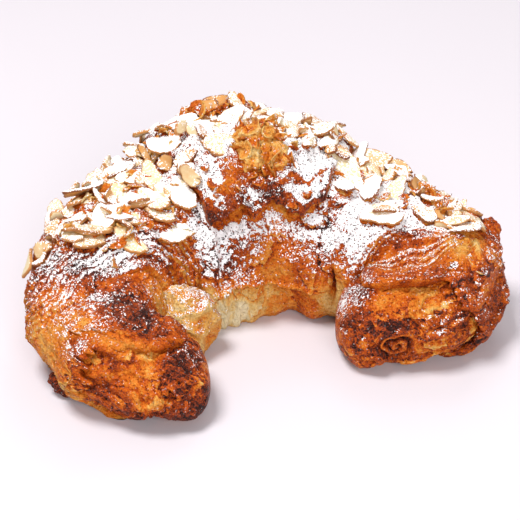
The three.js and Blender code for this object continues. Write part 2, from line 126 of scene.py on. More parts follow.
class Noise:
    """Seeded gradient noise in space, from about -1 to 1."""

    CELLS = 256
    GAIN = 1.7
    OCTAVE_SHIFT = 31.0
    RIDGE_SHIFT = 17.0
    RIDGE_FOLD = 2.4

    def __init__(self, seed: int) -> None:
        """Draws the lattice of slopes.

        Args:
            seed: Seed of the draw.
        """
        draw = np.random.default_rng(seed)
        self.order = np.tile(draw.permutation(self.CELLS), 2)
        self.slopes = unit(draw.normal(size=(self.CELLS, 3)))

    def at(self, points: Array, size: float) -> Array:
        """Noise at points.

        Args:
            points: Places, with x, y and z on the last axis.
            size: Width of one swell.

        Returns:
            One value for each point.
        """
        scaled = points / size
        cell = np.floor(scaled).astype(int)
        inside = scaled - cell
        fade = inside**3 * (inside * (inside * 6.0 - 15.0) + 10.0)
        total = np.zeros(points.shape[:-1])
        for corner in itertools.product((0, 1), repeat=3):
            x, y, z = np.moveaxis((cell + corner) % self.CELLS, -1, 0)
            slope = self.slopes[self.order[self.order[self.order[x] + y] + z]]
            weight = np.prod(np.where(corner, fade, 1.0 - fade), axis=-1)
            total += weight * np.sum(slope * (inside - corner), axis=-1)
        return total * self.GAIN

    def mixed(self, points: Array, parts: Parts) -> Array:
        """Sum of noises, each given by its size and its weight."""
        return sum(weight * self.at(points, size) for size, weight in parts)

    def layered(self, points: Array, size: float, octaves: int) -> Array:
        """Noise with finer and weaker octaves added."""
        return sum(self.at(points + self.OCTAVE_SHIFT * k, size / 2**k) / 2**k for k in range(octaves))

    def ridged(self, points: Array, size: float, octaves: int) -> Array:
        """Noise folded into sharp ridges, from about -1 to 1."""
        swells = (self.at(points + self.RIDGE_SHIFT * k, size / 2**k) for k in range(octaves))
        return sum((1.0 - self.RIDGE_FOLD * np.abs(swell)) / 2**k for k, swell in enumerate(swells))


DOUGH = Noise(11)
BAKE = Noise(23)
TEAR = Noise(37)


@dataclass
class Spine:
    """Centre line of the roll on the table, from the tip of the left horn to the tip of the right one."""

    points: Parts = (
        (-17, -46), (-41, -50), (-54, -28), (-51, 2), (-28, 24), (0, 29),
        (28, 21), (51, 12), (62, -4), (48, -18), (26, -18),
    )
    divisions: int = 2000
    bend_step: float = 0.01
    length: float = field(init=False)
    shares: Array = field(init=False)
    places: Array = field(init=False)
    headings: Array = field(init=False)
    bends: Array = field(init=False)

    def __post_init__(self) -> None:
        """Tabulates the curve by equal lengths."""
        time = np.linspace(0.0, 1.0, 4 * self.divisions + 1)
        steps = np.linalg.norm(np.diff(self.curve(time), axis=0), axis=1)
        run = np.concatenate([[0.0], np.cumsum(steps)])
        self.length = float(run[-1])
        self.shares = np.linspace(0.0, 1.0, self.divisions + 1)
        self.places = self.curve(np.interp(self.shares * self.length, run, time))
        tangent = np.gradient(self.places, axis=0)
        self.headings = np.unwrap(np.arctan2(tangent[:, 1], tangent[:, 0]))
        before = np.clip(self.shares - self.bend_step, 0.0, 1.0)
        after = np.clip(self.shares + self.bend_step, 0.0, 1.0)
        turned = np.abs(self.heading(after) - self.heading(before))
        self.bends = (after - before) * self.length / np.maximum(turned, TINY)

    def curve(self, time: Array) -> Array:
        """Uniform cubic B-spline that starts and ends on the first and last points.

        Args:
            time: Places on the curve, from 0 to 1.

        Returns:
            Points, with x and y on the last axis.
        """
        points = np.array(self.points, float)
        pulls = np.vstack([2 * points[0] - points[1], points, 2 * points[-1] - points[-2]])
        spans = len(points) - 1
        span = np.minimum((time * spans).astype(int), spans - 1)
        f = (time * spans - span)[:, None]
        weights = ((1 - f) ** 3, 3 * f**3 - 6 * f**2 + 4, -3 * f**3 + 3 * f**2 + 3 * f + 1, f**3)
        return sum(weight * pulls[span + k] for k, weight in enumerate(weights)) / 6.0

    def heading(self, share: Array) -> Array:
        """Compass angles of the spine, in radians."""
        return np.interp(share, self.shares, self.headings)

    def place(self, share: Array) -> Array:
        """Points of the spine, with x and y on the last axis."""
        return np.stack([np.interp(share, self.shares, self.places[:, k]) for k in range(2)], axis=-1)

    def outward(self, share: Array) -> Array:
        """Level directions away from the inside of the crescent."""
        heading = self.heading(share)
        return np.stack([-np.sin(heading), np.cos(heading)], axis=-1)

    def bend(self, share: Array) -> Array:
        """Radius of the spine's bend."""
        return np.interp(share, self.shares, self.bends)


@dataclass(frozen=True)
class Section:
    """Cross-section of the roll: thickest in the middle, with a squarer foot on its inner side."""

    mid_share: float = 0.52
    mid_height: float = 60.0
    tip_height: float = 21.0
    height_power: float = 1.15
    mid_half_width: float = 31.0
    tip_half_width: float = 13.0
    width_power: float = 1.6
    centre_share: float = 0.42
    base_sink: float = 2.0
    top_power: float = 2.25
    outer_base_power: float = 1.65
    inner_base_power: float = 5.0
    bend_share: float = 0.85
    bend_power: float = 6.0
    least_radius: float = 0.1
    uneven: float = 0.55
    waves: tuple[Triple, ...] = ((37, 2, 1.3), (61, -3, 4.1), (113, 4, 0.4))

    def thinning(self, share: Array) -> Array:
        """Distance from the thickest place, as a share of the way to the tip."""
        along = np.clip(share, 0.0, 1.0) - self.mid_share
        return np.abs(along) / np.where(along < 0, self.mid_share, 1.0 - self.mid_share)

    def height(self, share: Array) -> Array:
        """Height of the roll."""
        return mix(self.mid_height, self.tip_height, self.thinning(share) ** self.height_power)

    def radius(self, share: Array, angle: Array) -> Array:
        """Radius round the spine.

        Args:
            share: Share of the spine.
            angle: 0 on the outer side, 90 on top and 180 on the inner side.

        Returns:
            The radius of the plain section.
        """
        swing = np.radians(angle)
        width = mix(self.mid_half_width, self.tip_half_width, self.thinning(share) ** self.width_power)
        height = self.height(share)
        above = np.sin(swing) > 0
        below_reach = height * self.centre_share + self.base_sink
        reach = np.where(above, height * (1.0 - self.centre_share), below_reach)
        base = np.where(np.cos(swing) > 0, self.outer_base_power, self.inner_base_power)
        power = np.where(above, self.top_power, base)
        across = (np.abs(np.cos(swing)) / width) ** power
        upright = (np.abs(np.sin(swing)) / reach) ** power
        return (across + upright) ** (-1.0 / power)

    def unevenness(self, share: Array, angle: Array) -> Array:
        """Long waves along and round the roll."""
        swing = np.radians(angle)
        waves = (np.sin(along * share + turns * swing + start) for along, turns, start in self.waves)
        return self.uneven * sum(waves)

    def within_bend(self, radius: Array, bend: Array, angle: Array) -> Array:
        """Holds the inner side of a tight bend short of the bend's centre."""
        inward = -np.cos(np.radians(angle))
        limit = self.bend_share * bend / np.maximum(inward, TINY)
        power = -self.bend_power
        held = (np.maximum(radius, self.least_radius) ** power + limit**power) ** (1.0 / power)
        return np.where(inward > 0, held, radius)


@dataclass(frozen=True)
class Ground:
    """Places on the roll: shares of its spine, angles and radii round it, and points in space."""

    share: Array
    angle: Array
    radius: Array
    points: Array
    length: float

    def off(self, share: float, angle: float) -> tuple[Array, Array]:
        """Distances along and round the roll from one place on it."""
        apart = np.mod(self.angle - angle + HALF_TURN, FULL_TURN) - HALF_TURN
        return (self.share - share) * self.length, np.radians(apart) * self.radius


@dataclass(frozen=True)
class Leaves:
    """Thin layers of dough that end one after another towards a lip."""

    count: int = 3
    run: float = 3.2
    rise: float = 0.45
    curl: float = 0.35
    wobble: float = 1.2
    first: float = 2.4
    edge: float = 0.7
    swell: float = 0.0
    curl_run: float = 2.0
    swell_run: float = 3.0
    hollow_run: float = 1.3
    dust: float = 0.6
    ragged: Parts = ((13.0, 1.0), (4.5, 0.55), (1.7, 0.3))
    layer_shift: float = 53.0
    curl_size: float = 8.0
    curl_least: float = 0.6
    curl_spread: float = 0.8
    rim_run: float = 1.0
    brink: float = 0.2

    def relief(self, run: Array, points: Array, seed: float) -> tuple[Array, Array, Array]:
        """Steps of the layers.

        Args:
            run: Distance from the lip.
            points: Places on the plain surface, for the raggedness.
            seed: Shift that makes each lip's raggedness its own.

        Returns:
            The height of the relief, how near a layer's thin edge is and how deep in a step's corner.
        """
        height = self.swell * np.exp(-np.maximum(run - self.first, 0.0) / self.swell_run)
        rim = np.zeros(run.shape)
        hollow = np.zeros(run.shape)
        for layer in range(1, self.count + 1):
            shifted = points + seed + self.layer_shift * layer
            past = run - self.first - layer * self.run - self.wobble * TEAR.mixed(shifted, self.ragged)
            height -= self.rise * (1.0 - ramp((past + self.edge) / self.edge))
            lift = np.exp(-np.maximum(past, 0.0) / self.curl_run) * (past > 0)
            curl = self.curl_least + self.curl_spread * TEAR.at(shifted, self.curl_size)
            height += self.curl * lift * curl
            rim = np.maximum(rim, np.exp(-np.maximum(past, 0.0) / self.rim_run) * (past > -self.brink))
            corner = np.exp(np.minimum(past, 0.0) / self.hollow_run) * (past < -self.brink)
            hollow = np.maximum(hollow, corner)
        return height, rim, hollow


@dataclass(frozen=True)
class Edge:
    """Edge of a wrap: its shares of the spine on both sides, and the angles between which it crosses."""

    outer: float
    inner: float
    from_angle: float = 0.0
    to_angle: float = HALF_TURN
    end: EdgeEnd = EdgeEnd.LIP
    leaves: Leaves = Leaves()
    ragged: float = 0.9
    ragged_waves: tuple[int, ...] = (3, 5)
    ragged_start: float = 90.0
    frill: float = 0.0
    frill_waves: tuple[int, ...] = (19, 31, 53)
    slant_step: float = 0.5
    lip_radius: float = 1.5
    lip_tuck: float = 1.8
    lip_wall: float = 3.6
    lip_arcs: int = 8
    lip_rows: int = 4
    tip_run: float = 9.0
    tip_reach: float = 0.8
    tip_power: float = 2.5
    tip_rows: int = 26
    tip_first: float = 0.06
    tip_crowding: float = 1.6

    def course(self, angle: Array) -> Array:
        """Share of the spine at which the edge would lie if it weren't ragged."""
        outer_angle = np.degrees(np.arccos(np.clip(np.cos(np.radians(angle)), -1.0, 1.0)))
        crossing = ramp((outer_angle - self.from_angle) / (self.to_angle - self.from_angle))
        return mix(self.outer, self.inner, crossing)

    def share(self, angle: Array, length: float) -> Array:
        """Share of the spine at which the edge lies.

        Args:
            angle: Angle round the roll.
            length: Length of the spine.

        Returns:
            One share for each angle.
        """
        if self.end is not EdgeEnd.LIP:
            return self.course(angle)
        swing = np.radians(angle)
        waves = sum(np.sin(wave * swing + self.ragged_start * self.inner) for wave in self.ragged_waves)
        frills = (np.sin(wave / 2 * swing + number) for number, wave in enumerate(self.frill_waves))
        scallops = sum(np.abs(frill) for frill in frills)
        return self.course(angle) + (self.ragged * waves + self.frill * scallops) / length

    def distance(self, run: Array, angle: Array, radius: Array, length: float) -> Array:
        """Distance from the edge of places that lie a run away from it along the roll."""
        step = self.slant_step
        slant = (self.course(angle + step) - self.course(angle - step)) * length
        return run / np.hypot(1.0, slant / (2.0 * math.radians(step) * radius))

    def rows(self) -> tuple[Array, Array, Array]:
        """Rows from the edge inwards.

        Returns:
            The run of each row from the edge, its drop below the surface and the share of the radius kept.
        """
        if self.end is EdgeEnd.TUCKED:
            return np.zeros(1), np.zeros(1), np.ones(1)
        if self.end is EdgeEnd.TIP:
            step = np.linspace(self.tip_first, 1.0, self.tip_rows) ** self.tip_crowding
            run = step * (self.tip_run + self.tip_reach) - self.tip_reach
            kept = (1.0 - (1.0 - step) ** self.tip_power) ** (1.0 / self.tip_power)
            return run, np.zeros(run.shape), kept
        arc = np.linspace(0.0, math.pi / 2, self.lip_arcs + 1)
        wall = np.linspace(1.0, 0.0, self.lip_rows + 1)[:-1]
        run = np.concatenate([wall * self.lip_tuck, self.lip_radius * (1.0 - np.cos(arc))])
        drop = np.concatenate([self.lip_radius + wall * self.lip_wall, self.lip_radius * (1.0 - np.sin(arc))])
        return run, drop, np.ones(run.shape)


@dataclass(frozen=True)
class Shelf:
    """Step on the inner side, below which the roll draws in to the wrap underneath."""

    angle: float = 192.0
    foot: float = 4.0
    fade: float = 206.0
    back: float = 232.0
    drop: float = 3.0
    start: float = 0.385
    finish: float = 0.7
    blend: float = 0.03
    reach: float = 12.0
    ragged: Parts = ((14.0, 1.2), (4.0, 0.7))
    lip_run: float = 1.2
    lip_rise: float = 1.3
    lip_dent: float = 0.9
    pale: float = 0.6
    # weight of the corner below the lip: darkens it as painted shade and keeps sugar off it
    dark: float = 1.1

    def along(self, share: Array) -> Array:
        """How fully the step is there, from 0 to 1."""
        return ramp((share - self.start) / self.blend) * ramp((self.finish - share) / self.blend)

    def crease(self, ground: Ground) -> tuple[Array, Array, Array]:
        """Ragged lip over the step.

        Args:
            ground: Places on the wrap.

        Returns:
            The height of the lip, how near its rim is and how deep in the corner below it.
        """
        below = np.radians(np.mod(ground.angle, FULL_TURN) - self.angle) * ground.radius
        below = below + TEAR.mixed(ground.points, self.ragged)
        near = self.along(ground.share) * (np.abs(below) < self.reach)
        rim = near * np.exp(np.minimum(below, 0.0) / self.lip_run) * (below < 0)
        hollow = near * np.exp(-np.maximum(below, 0.0) / self.lip_run) * (below >= 0)
        return self.lip_rise * rim - self.lip_dent * hollow, self.pale * rim, self.dark * hollow

    def depth(self, share: Array, angle: Array) -> Array:
        """How far the roll steps in."""
        turned = np.mod(angle, FULL_TURN)
        below = ramp((turned - self.angle) / self.foot) * ramp((self.back - turned) / (self.back - self.fade))
        return self.drop * below * self.along(share)


@dataclass
class Relief:
    """Height, bake with painted shade in the corners of its layers, and hold of sugar over the surface of a
    wrap.
    """

    height: Array
    brown: Array
    hold: Array
    rim: Array = field(init=False)
    hollow: Array = field(init=False)
    tone: Array = field(init=False)

    BURIED = 0.4
    SCALE_RIM = 1.5
    SCALE_HOLLOW = 2.0
    SCALE_DUST = 0.8
    RIM_PALE = 0.18
    # darkening in the corners of steps and before scales: painted shade, with some deeper bake
    HOLLOW_SHADE_AND_BAKE = 0.26
    HOLLOW_BARE = 0.9

    def __post_init__(self) -> None:
        """Starts with no scales."""
        self.rim, self.hollow, self.tone = (np.zeros(self.height.shape) for _ in range(3))

    def gather(self, near: Array, cover: Array, rise: float, rim: Array, hollow: Array, tone: float) -> None:
        """Lays a scale over what is there.

        Args:
            near: Places near the scale.
            cover: How much of it lies over each of them.
            rise: Its height.
            rim: How near its thin rim is.
            hollow: How deep the corner before it is.
            tone: Its bake beside that of the crust.
        """
        self.height[near] = self.height[near] * (1.0 - self.BURIED * cover) + rise * cover
        self.rim[near] = np.maximum(self.rim[near] * (1.0 - cover), rim)
        self.hollow[near] = np.maximum(self.hollow[near] * (1.0 - cover), hollow)
        self.tone[near] = mix(self.tone[near], tone, cover)

    def settle(self) -> None:
        """Tints the gathered scales."""
        self.brown = self.brown + self.tone
        self.step(0.0, self.SCALE_RIM * self.rim, self.SCALE_HOLLOW * self.hollow, self.SCALE_DUST)
        self.__post_init__()

    def step(self, height: Array | float, rim: Array, hollow: Array, dust: float) -> None:
        """Adds the step of a thin layer: paler and dusted along its rim, darker and bare in its corner; the
        darkening is painted shade with some deeper bake.
        """
        self.height = self.height + height
        self.brown = self.brown - self.RIM_PALE * rim + self.HOLLOW_SHADE_AND_BAKE * hollow
        self.hold = self.hold * (1.0 + dust * rim) * (1.0 - self.HOLLOW_BARE * hollow)


@dataclass(frozen=True)
class Patch:
    """A place on a wrap with its own bake, sugar or height."""

    share: float
    angle: float
    along: float
    around: float
    brown: float | None = None
    sugar: float | None = None
    lift: float = 0.0

    FRAY = ((7.0, 0.55, 7.0), (2.6, 0.3, 0.0))
    POWER = 1.3
    SPARED = 0.7

    def add(self, relief: Relief, ground: Ground, brown: float) -> None:
        """Adds the patch to a relief.

        Args:
            relief: Relief to add to.
            ground: Places on the wrap.
            brown: Plain bake of the wrap; what departs from it shows through.
        """
        x, y = ground.off(self.share, self.angle)
        x, y = x / self.along, y / self.around
        frayed = 1.0 + sum(share * BAKE.at(ground.points + shift, size) for size, share, shift in self.FRAY)
        weight = np.exp(-((x * x + y * y) ** self.POWER) * frayed)
        relief.height = relief.height + self.lift * weight
        if self.brown is not None:
            spared = self.brown + self.SPARED * (relief.brown - brown)
            relief.brown = mix(relief.brown, spared, weight)
        if self.sugar is not None:
            relief.hold = mix(relief.hold, relief.hold * self.sugar, weight)


@dataclass(frozen=True)
class Scale:
    """A torn scale of crust: it rises to a rounded rim on one side and lies flat on the other."""

    share: float
    angle: float
    radius: float
    rise: float
    facing: float
    squash: float = 1.0
    tone: float = 0.0

    TORN = ((4.4, 0.34), (1.7, 0.24))
    REACH = 2.0
    EDGE = 0.6
    FRONT_START, FRONT_RUN = 0.3, 0.5
    COVER = (-0.7, 1.5)
    RIM_RUN = 0.5
    HOLLOW_RUN = 0.8

    def add(self, relief: Relief, ground: Ground) -> None:
        """Adds the scale to a wrap's relief.

        Args:
            relief: Relief to add to.
            ground: Places on the wrap.
        """
        x, y = ground.off(self.share, self.angle)
        near = np.hypot(x, y) < self.REACH * self.radius / min(self.squash, 1.0)
        if not near.any():
            return
        swing = math.radians(self.facing)
        ahead = (math.cos(swing) * x[near] + math.sin(swing) * y[near]) / self.radius
        beside = (math.cos(swing) * y[near] - math.sin(swing) * x[near]) / self.radius * self.squash
        inside = (1.0 - np.hypot(ahead, beside) - TEAR.mixed(ground.points[near], self.TORN)) * self.radius
        front = ramp(ahead / self.FRONT_RUN + self.FRONT_START)
        cover = onset(ahead, self.COVER) * ramp(inside / self.EDGE)
        rim = front * np.exp(-np.maximum(inside, 0.0) / self.RIM_RUN) * (inside > 0)
        hollow = front * np.exp(np.minimum(inside, 0.0) / self.HOLLOW_RUN) * (inside <= 0)
        relief.gather(near, cover, self.rise, rim, hollow, self.tone)


@dataclass(frozen=True)
class RolledEnd:
    """The end of a rolled layer, seen as a spiral groove."""

    share: float
    angle: float
    radius: float
    depth: float
    spacing: float

    BROWN = 0.68
    STRAY_SIZE = 3.2
    STRAY_SHIFT = 9.0
    FADE = (0.7, 0.3)
    GROOVE = (-0.2, 1.1)
    RIDGE = (0.2, 0.7)
    RAISED = 0.8
    DUST = 0.5

    def add(self, relief: Relief, ground: Ground) -> None:
        """Adds the spiral to a wrap's relief.

        Args:
            relief: Relief to add to.
            ground: Places on the wrap.
        """
        x, y = ground.off(self.share, self.angle)
        x = x + TEAR.at(ground.points, self.STRAY_SIZE)
        y = y + TEAR.at(ground.points + self.STRAY_SHIFT, self.STRAY_SIZE)
        out = np.hypot(x, y)
        wave = np.cos(2.0 * math.pi * out / self.spacing - np.arctan2(y, x))
        fade = 1.0 - onset(out / self.radius, self.FADE)
        groove = fade * onset(wave, self.GROOVE)
        ridge = fade * onset(-wave, self.RIDGE)
        relief.height = relief.height * (1.0 - fade)
        relief.brown = mix(relief.brown, self.BROWN, fade)
        relief.step(self.depth * (self.RAISED * fade - groove), ridge, groove, self.DUST)


@dataclass(frozen=True)
class Lens:
    """An open fold seen from above: a thick rim round a hollow with thin layers nested in it."""

    share: float
    angle: float
    long: float
    short: float
    turn: float
    depth: float
    rim: float
    layers: int = 4
    layer_height: float = 1.3
    layer_skew: float = 0.25
    dust: float = 4.5
    sill: float = 0.35
    pale: float = 0.16

    TORN = ((7.0, 0.09), (2.2, 0.06))
    LEAST_OPEN = 0.08
    EDGE_RUN = 0.15
    BACK_RIM = (0.7, 0.2)
    FRONT_RIM = 1.3
    PALE = (0.84, 0.15)
    HOLLOW_RUN = 0.2
    HELD_INSIDE = 0.4
    FRONT_BARE = 0.6
    FRONT_BROWN = 0.1

    def add(self, relief: Relief, ground: Ground) -> None:
        """Adds the fold to a wrap's relief.

        Args:
            relief: Relief to add to.
            ground: Places on the wrap.
        """
        x, y = ground.off(self.share, self.angle)
        swing = math.radians(self.turn)
        along = (math.cos(swing) * x + math.sin(swing) * y) / self.long
        across = (math.cos(swing) * y - math.sin(swing) * x) / self.short
        open_ = np.maximum(1.0 - along * along, self.LEAST_OPEN)
        level = across / open_ + TEAR.mixed(ground.points, self.TORN)
        within = ramp((1.0 - np.abs(along)) / self.EDGE_RUN)
        fold = (level - self.sill) / (1.0 - self.sill)
        inside = within * ramp((1.0 - np.abs(fold)) / self.EDGE_RUN)
        saw = np.mod((1.0 - fold) * self.layers / 2.0 + self.layer_skew * along, 1.0)
        back_height, back_run = self.BACK_RIM
        edge = within * np.exp(-(((level - 1.0) * open_ / back_run) ** 2))
        front = within * np.exp(-(((level + 1.0 - self.sill) / (self.FRONT_RIM * self.sill)) ** 4))
        height = self.rim * (back_height * edge + front * open_) - self.depth * inside * open_
        middle, run = self.PALE
        pale = inside * np.exp(-(((saw - middle) / run) ** 2))
        hollow = inside * np.exp(-((saw / self.HOLLOW_RUN) ** 2))
        relief.hold = relief.hold * mix(1.0, self.HELD_INSIDE, inside) * (1.0 - self.FRONT_BARE * front)
        relief.brown = relief.brown + self.FRONT_BROWN * front - self.pale * pale
        relief.step(height + self.layer_height * saw * inside, pale, hollow, self.dust)


@dataclass(frozen=True)
class Scaling:
    """Torn scales spread over a wrap by a seeded draw."""

    count: int
    seed: int
    facing: float
    shares: Range
    angles: Range = (-40.0, 220.0)
    radii: Range = (3.0, 8.0)
    rises: Range = (0.5, 1.2)
    swing: float = 50.0
    tone: float = 0.08
    squashes: Range = (0.55, 1.1)

    def scales(self) -> list[Scale]:
        """Draws the scales."""
        draw = np.random.default_rng(self.seed)
        swings = (self.facing - self.swing, self.facing + self.swing)
        tones = (-self.tone, self.tone)
        ranges = (self.shares, self.angles, self.radii, self.rises, swings, self.squashes, tones)
        return [Scale(*(draw.uniform(*bounds) for bounds in ranges)) for _ in range(self.count)]


def new_object(name: str, data: Any) -> Piece:
    """Makes an object at the origin, linked into the scene."""
    thing = bpy.data.objects.new(name, data)
    bpy.context.scene.collection.objects.link(thing)
    return thing


def tube_faces(rows: int, columns: int, flipped: bool) -> tuple[Array, Array]:
    """Faces of a tube of vertices that is closed by a pole at each end.

    Args:
        rows: Rows of vertices.
        columns: Vertices of a row.
        flipped: Whether the faces look the other way.

    Returns:
        The four-cornered and the three-cornered faces; the poles come after all rows.
    """
    index = np.arange(rows * columns).reshape(rows, columns)
    beside = np.roll(index, -1, axis=1)
    first, last = (np.full(columns, rows * columns + pole) for pole in range(2))
    quads = np.stack([index[:-1], index[1:], beside[1:], beside[:-1]], axis=-1).reshape(-1, 4)
    fans = np.concatenate([
        np.stack([first, index[0], beside[0]], axis=-1),
        np.stack([last, beside[-1], index[-1]], axis=-1),
    ])
    return (quads[:, [0, 3, 2, 1]], fans[:, [0, 2, 1]]) if flipped else (quads, fans)


def mesh_object(name: str, points: Array, quads: Array, fans: Array, values: dict[str, Array]) -> Piece:
    """Makes a smooth mesh object at the origin.

    Args:
        name: Name of the piece.
        points: Vertices, before the outline is centred.
        quads: Four-cornered faces.
        fans: Three-cornered faces.
        values: Vertex attributes by name.

    Returns:
        The object, linked into the scene.
    """
    mesh = bpy.data.meshes.new(name)
    centred = (points - np.array(OUTLINE_MIDDLE)) * MM
    corners = np.concatenate([quads.ravel(), fans.ravel()]).astype(np.int32)
    starts = np.concatenate([4 * np.arange(len(quads)), 4 * len(quads) + 3 * np.arange(len(fans))])
    mesh.vertices.add(len(centred))
    mesh.vertices.foreach_set("co", centred.astype(np.float32).ravel())
    mesh.loops.add(len(corners))
    mesh.loops.foreach_set("vertex_index", corners)
    mesh.polygons.add(len(starts))
    mesh.polygons.foreach_set("loop_start", starts.astype(np.int32))
    mesh.update(calc_edges=True)
    mesh.validate()
    mesh.polygons.foreach_set("use_smooth", np.ones(len(mesh.polygons), bool))
    for key, value in values.items():
        set_attribute(mesh, key, value)
    return new_object(name, mesh)


def surface_of(mesh: bpy.types.Mesh) -> tuple[Array, Array]:
    """Vertices and vertex normals of a mesh, in metres.

    Args:
        mesh: The mesh.

    Returns:
        The places and the directions.
    """
    parts = []
    for key in ("co", "normal"):
        flat = np.empty(3 * len(mesh.vertices), np.float32)
        mesh.vertices.foreach_get(key, flat)
        parts.append(flat.reshape(-1, 3))
    return parts[0], parts[1]


def set_attribute(mesh: bpy.types.Mesh, name: str, values: Array) -> None:
    """Writes one vertex attribute, made if it is missing."""
    layer = mesh.attributes.get(name) or mesh.attributes.new(name, "FLOAT", "POINT")
    layer.data.foreach_set("value", values.astype(np.float32).ravel())


def read_attribute(mesh: bpy.types.Mesh, name: str) -> Array:
    """Reads one vertex attribute."""
    values = np.empty(len(mesh.vertices), np.float32)
    mesh.attributes[name].data.foreach_get("value", values)
    return values


def register(piece: Piece, slot: Slot, material: Material) -> None:
    """Dresses a finished piece and puts it in the frame in the croissant's place.

    Args:
        piece: The finished piece.
        slot: Slot of the record.
        material: Finish of the piece.
    """
    piece.data.materials.clear()
    piece.data.materials.append(material)
    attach(piece, BODY)
    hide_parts(NODE)
    LOG.info("%s: %d faces, %s", piece.name, len(piece.data.polygons), slot.value)


class Sky:
    """Open sky over all pieces, through which icing sugar falls."""

    LEAN = 28.0
    SIDES = 8
    CLEAR = 0.0006
    REACH = 0.06

    def __init__(self, pieces: Sequence[Piece]) -> None:
        """Gathers the faces of the pieces.

        Args:
            pieces: All pieces that shelter others.
        """
        points: list[Array] = []
        faces: list[list[int]] = []
        for piece in pieces:
            start = sum(map(len, points))
            points.append(surface_of(piece.data)[0])
            faces += [[start + corner for corner in face.vertices] for face in piece.data.polygons]
        self.cover = BVHTree.FromPolygons(np.concatenate(points).tolist(), faces)
        lean = math.radians(self.LEAN)
        straight = np.array([0.0, 0.0, 1.0])
        turns = [FULL_TURN * side / self.SIDES for side in range(self.SIDES)]
        leaning = [compass(turn) * math.sin(lean) + straight * math.cos(lean) for turn in turns]
        self.rays = [Vector(ray) for ray in (straight, *leaning)]

    def openness(self, points: Array, normals: Array) -> Array:
        """How open the sky is over each point.

        Args:
            points: Places on a piece, in metres.
            normals: Directions away from it.

        Returns:
            The root of the share of rays that reach the sky.
        """
        open_ = np.zeros(len(points))
        for number in np.flatnonzero(normals[:, 2] > 0.0):
            start = Vector(points[number]) + Vector(normals[number]) * self.CLEAR
            free = sum(self.cover.ray_cast(start, ray, self.REACH)[0] is None for ray in self.rays)
            open_[number] = math.sqrt(free / len(self.rays))
        return open_


@dataclass(frozen=True)
class SugarFall:
    """How icing sugar settles on a surface: by slope and in drifts."""

    level: float
    flat_from: float = 0.1
    flat_run: float = 0.75
    drift: float = 0.45
    drift_size: float = 9.0

    DRIFT_SHIFT = 61.0
    DRIFT_OCTAVES = 2
    THIN = 0.3
    THIN_SHARE = 0.25
    MOST = 1.4

    def settle(self, piece: Piece, sky: Sky) -> None:
        """Writes the share of each place that the sugar covers.

        Args:
            piece: Piece with its hold of sugar as a vertex attribute.
            sky: What the sugar falls through.
        """
        points, normals = surface_of(piece.data)
        slope = ramp((normals[:, 2] - self.flat_from) / self.flat_run)
        drifts = BAKE.layered(points / MM + self.DRIFT_SHIFT, self.drift_size, self.DRIFT_OCTAVES)
        falling = sky.openness(points, normals)
        cover = read_attribute(piece.data, "hold") * slope * (1.0 + self.drift * drifts) * falling
        thin = mix(self.THIN_SHARE, 1.0, ramp(cover / self.THIN))
        set_attribute(piece.data, "sugar", np.clip(cover * thin, 0.0, self.MOST))


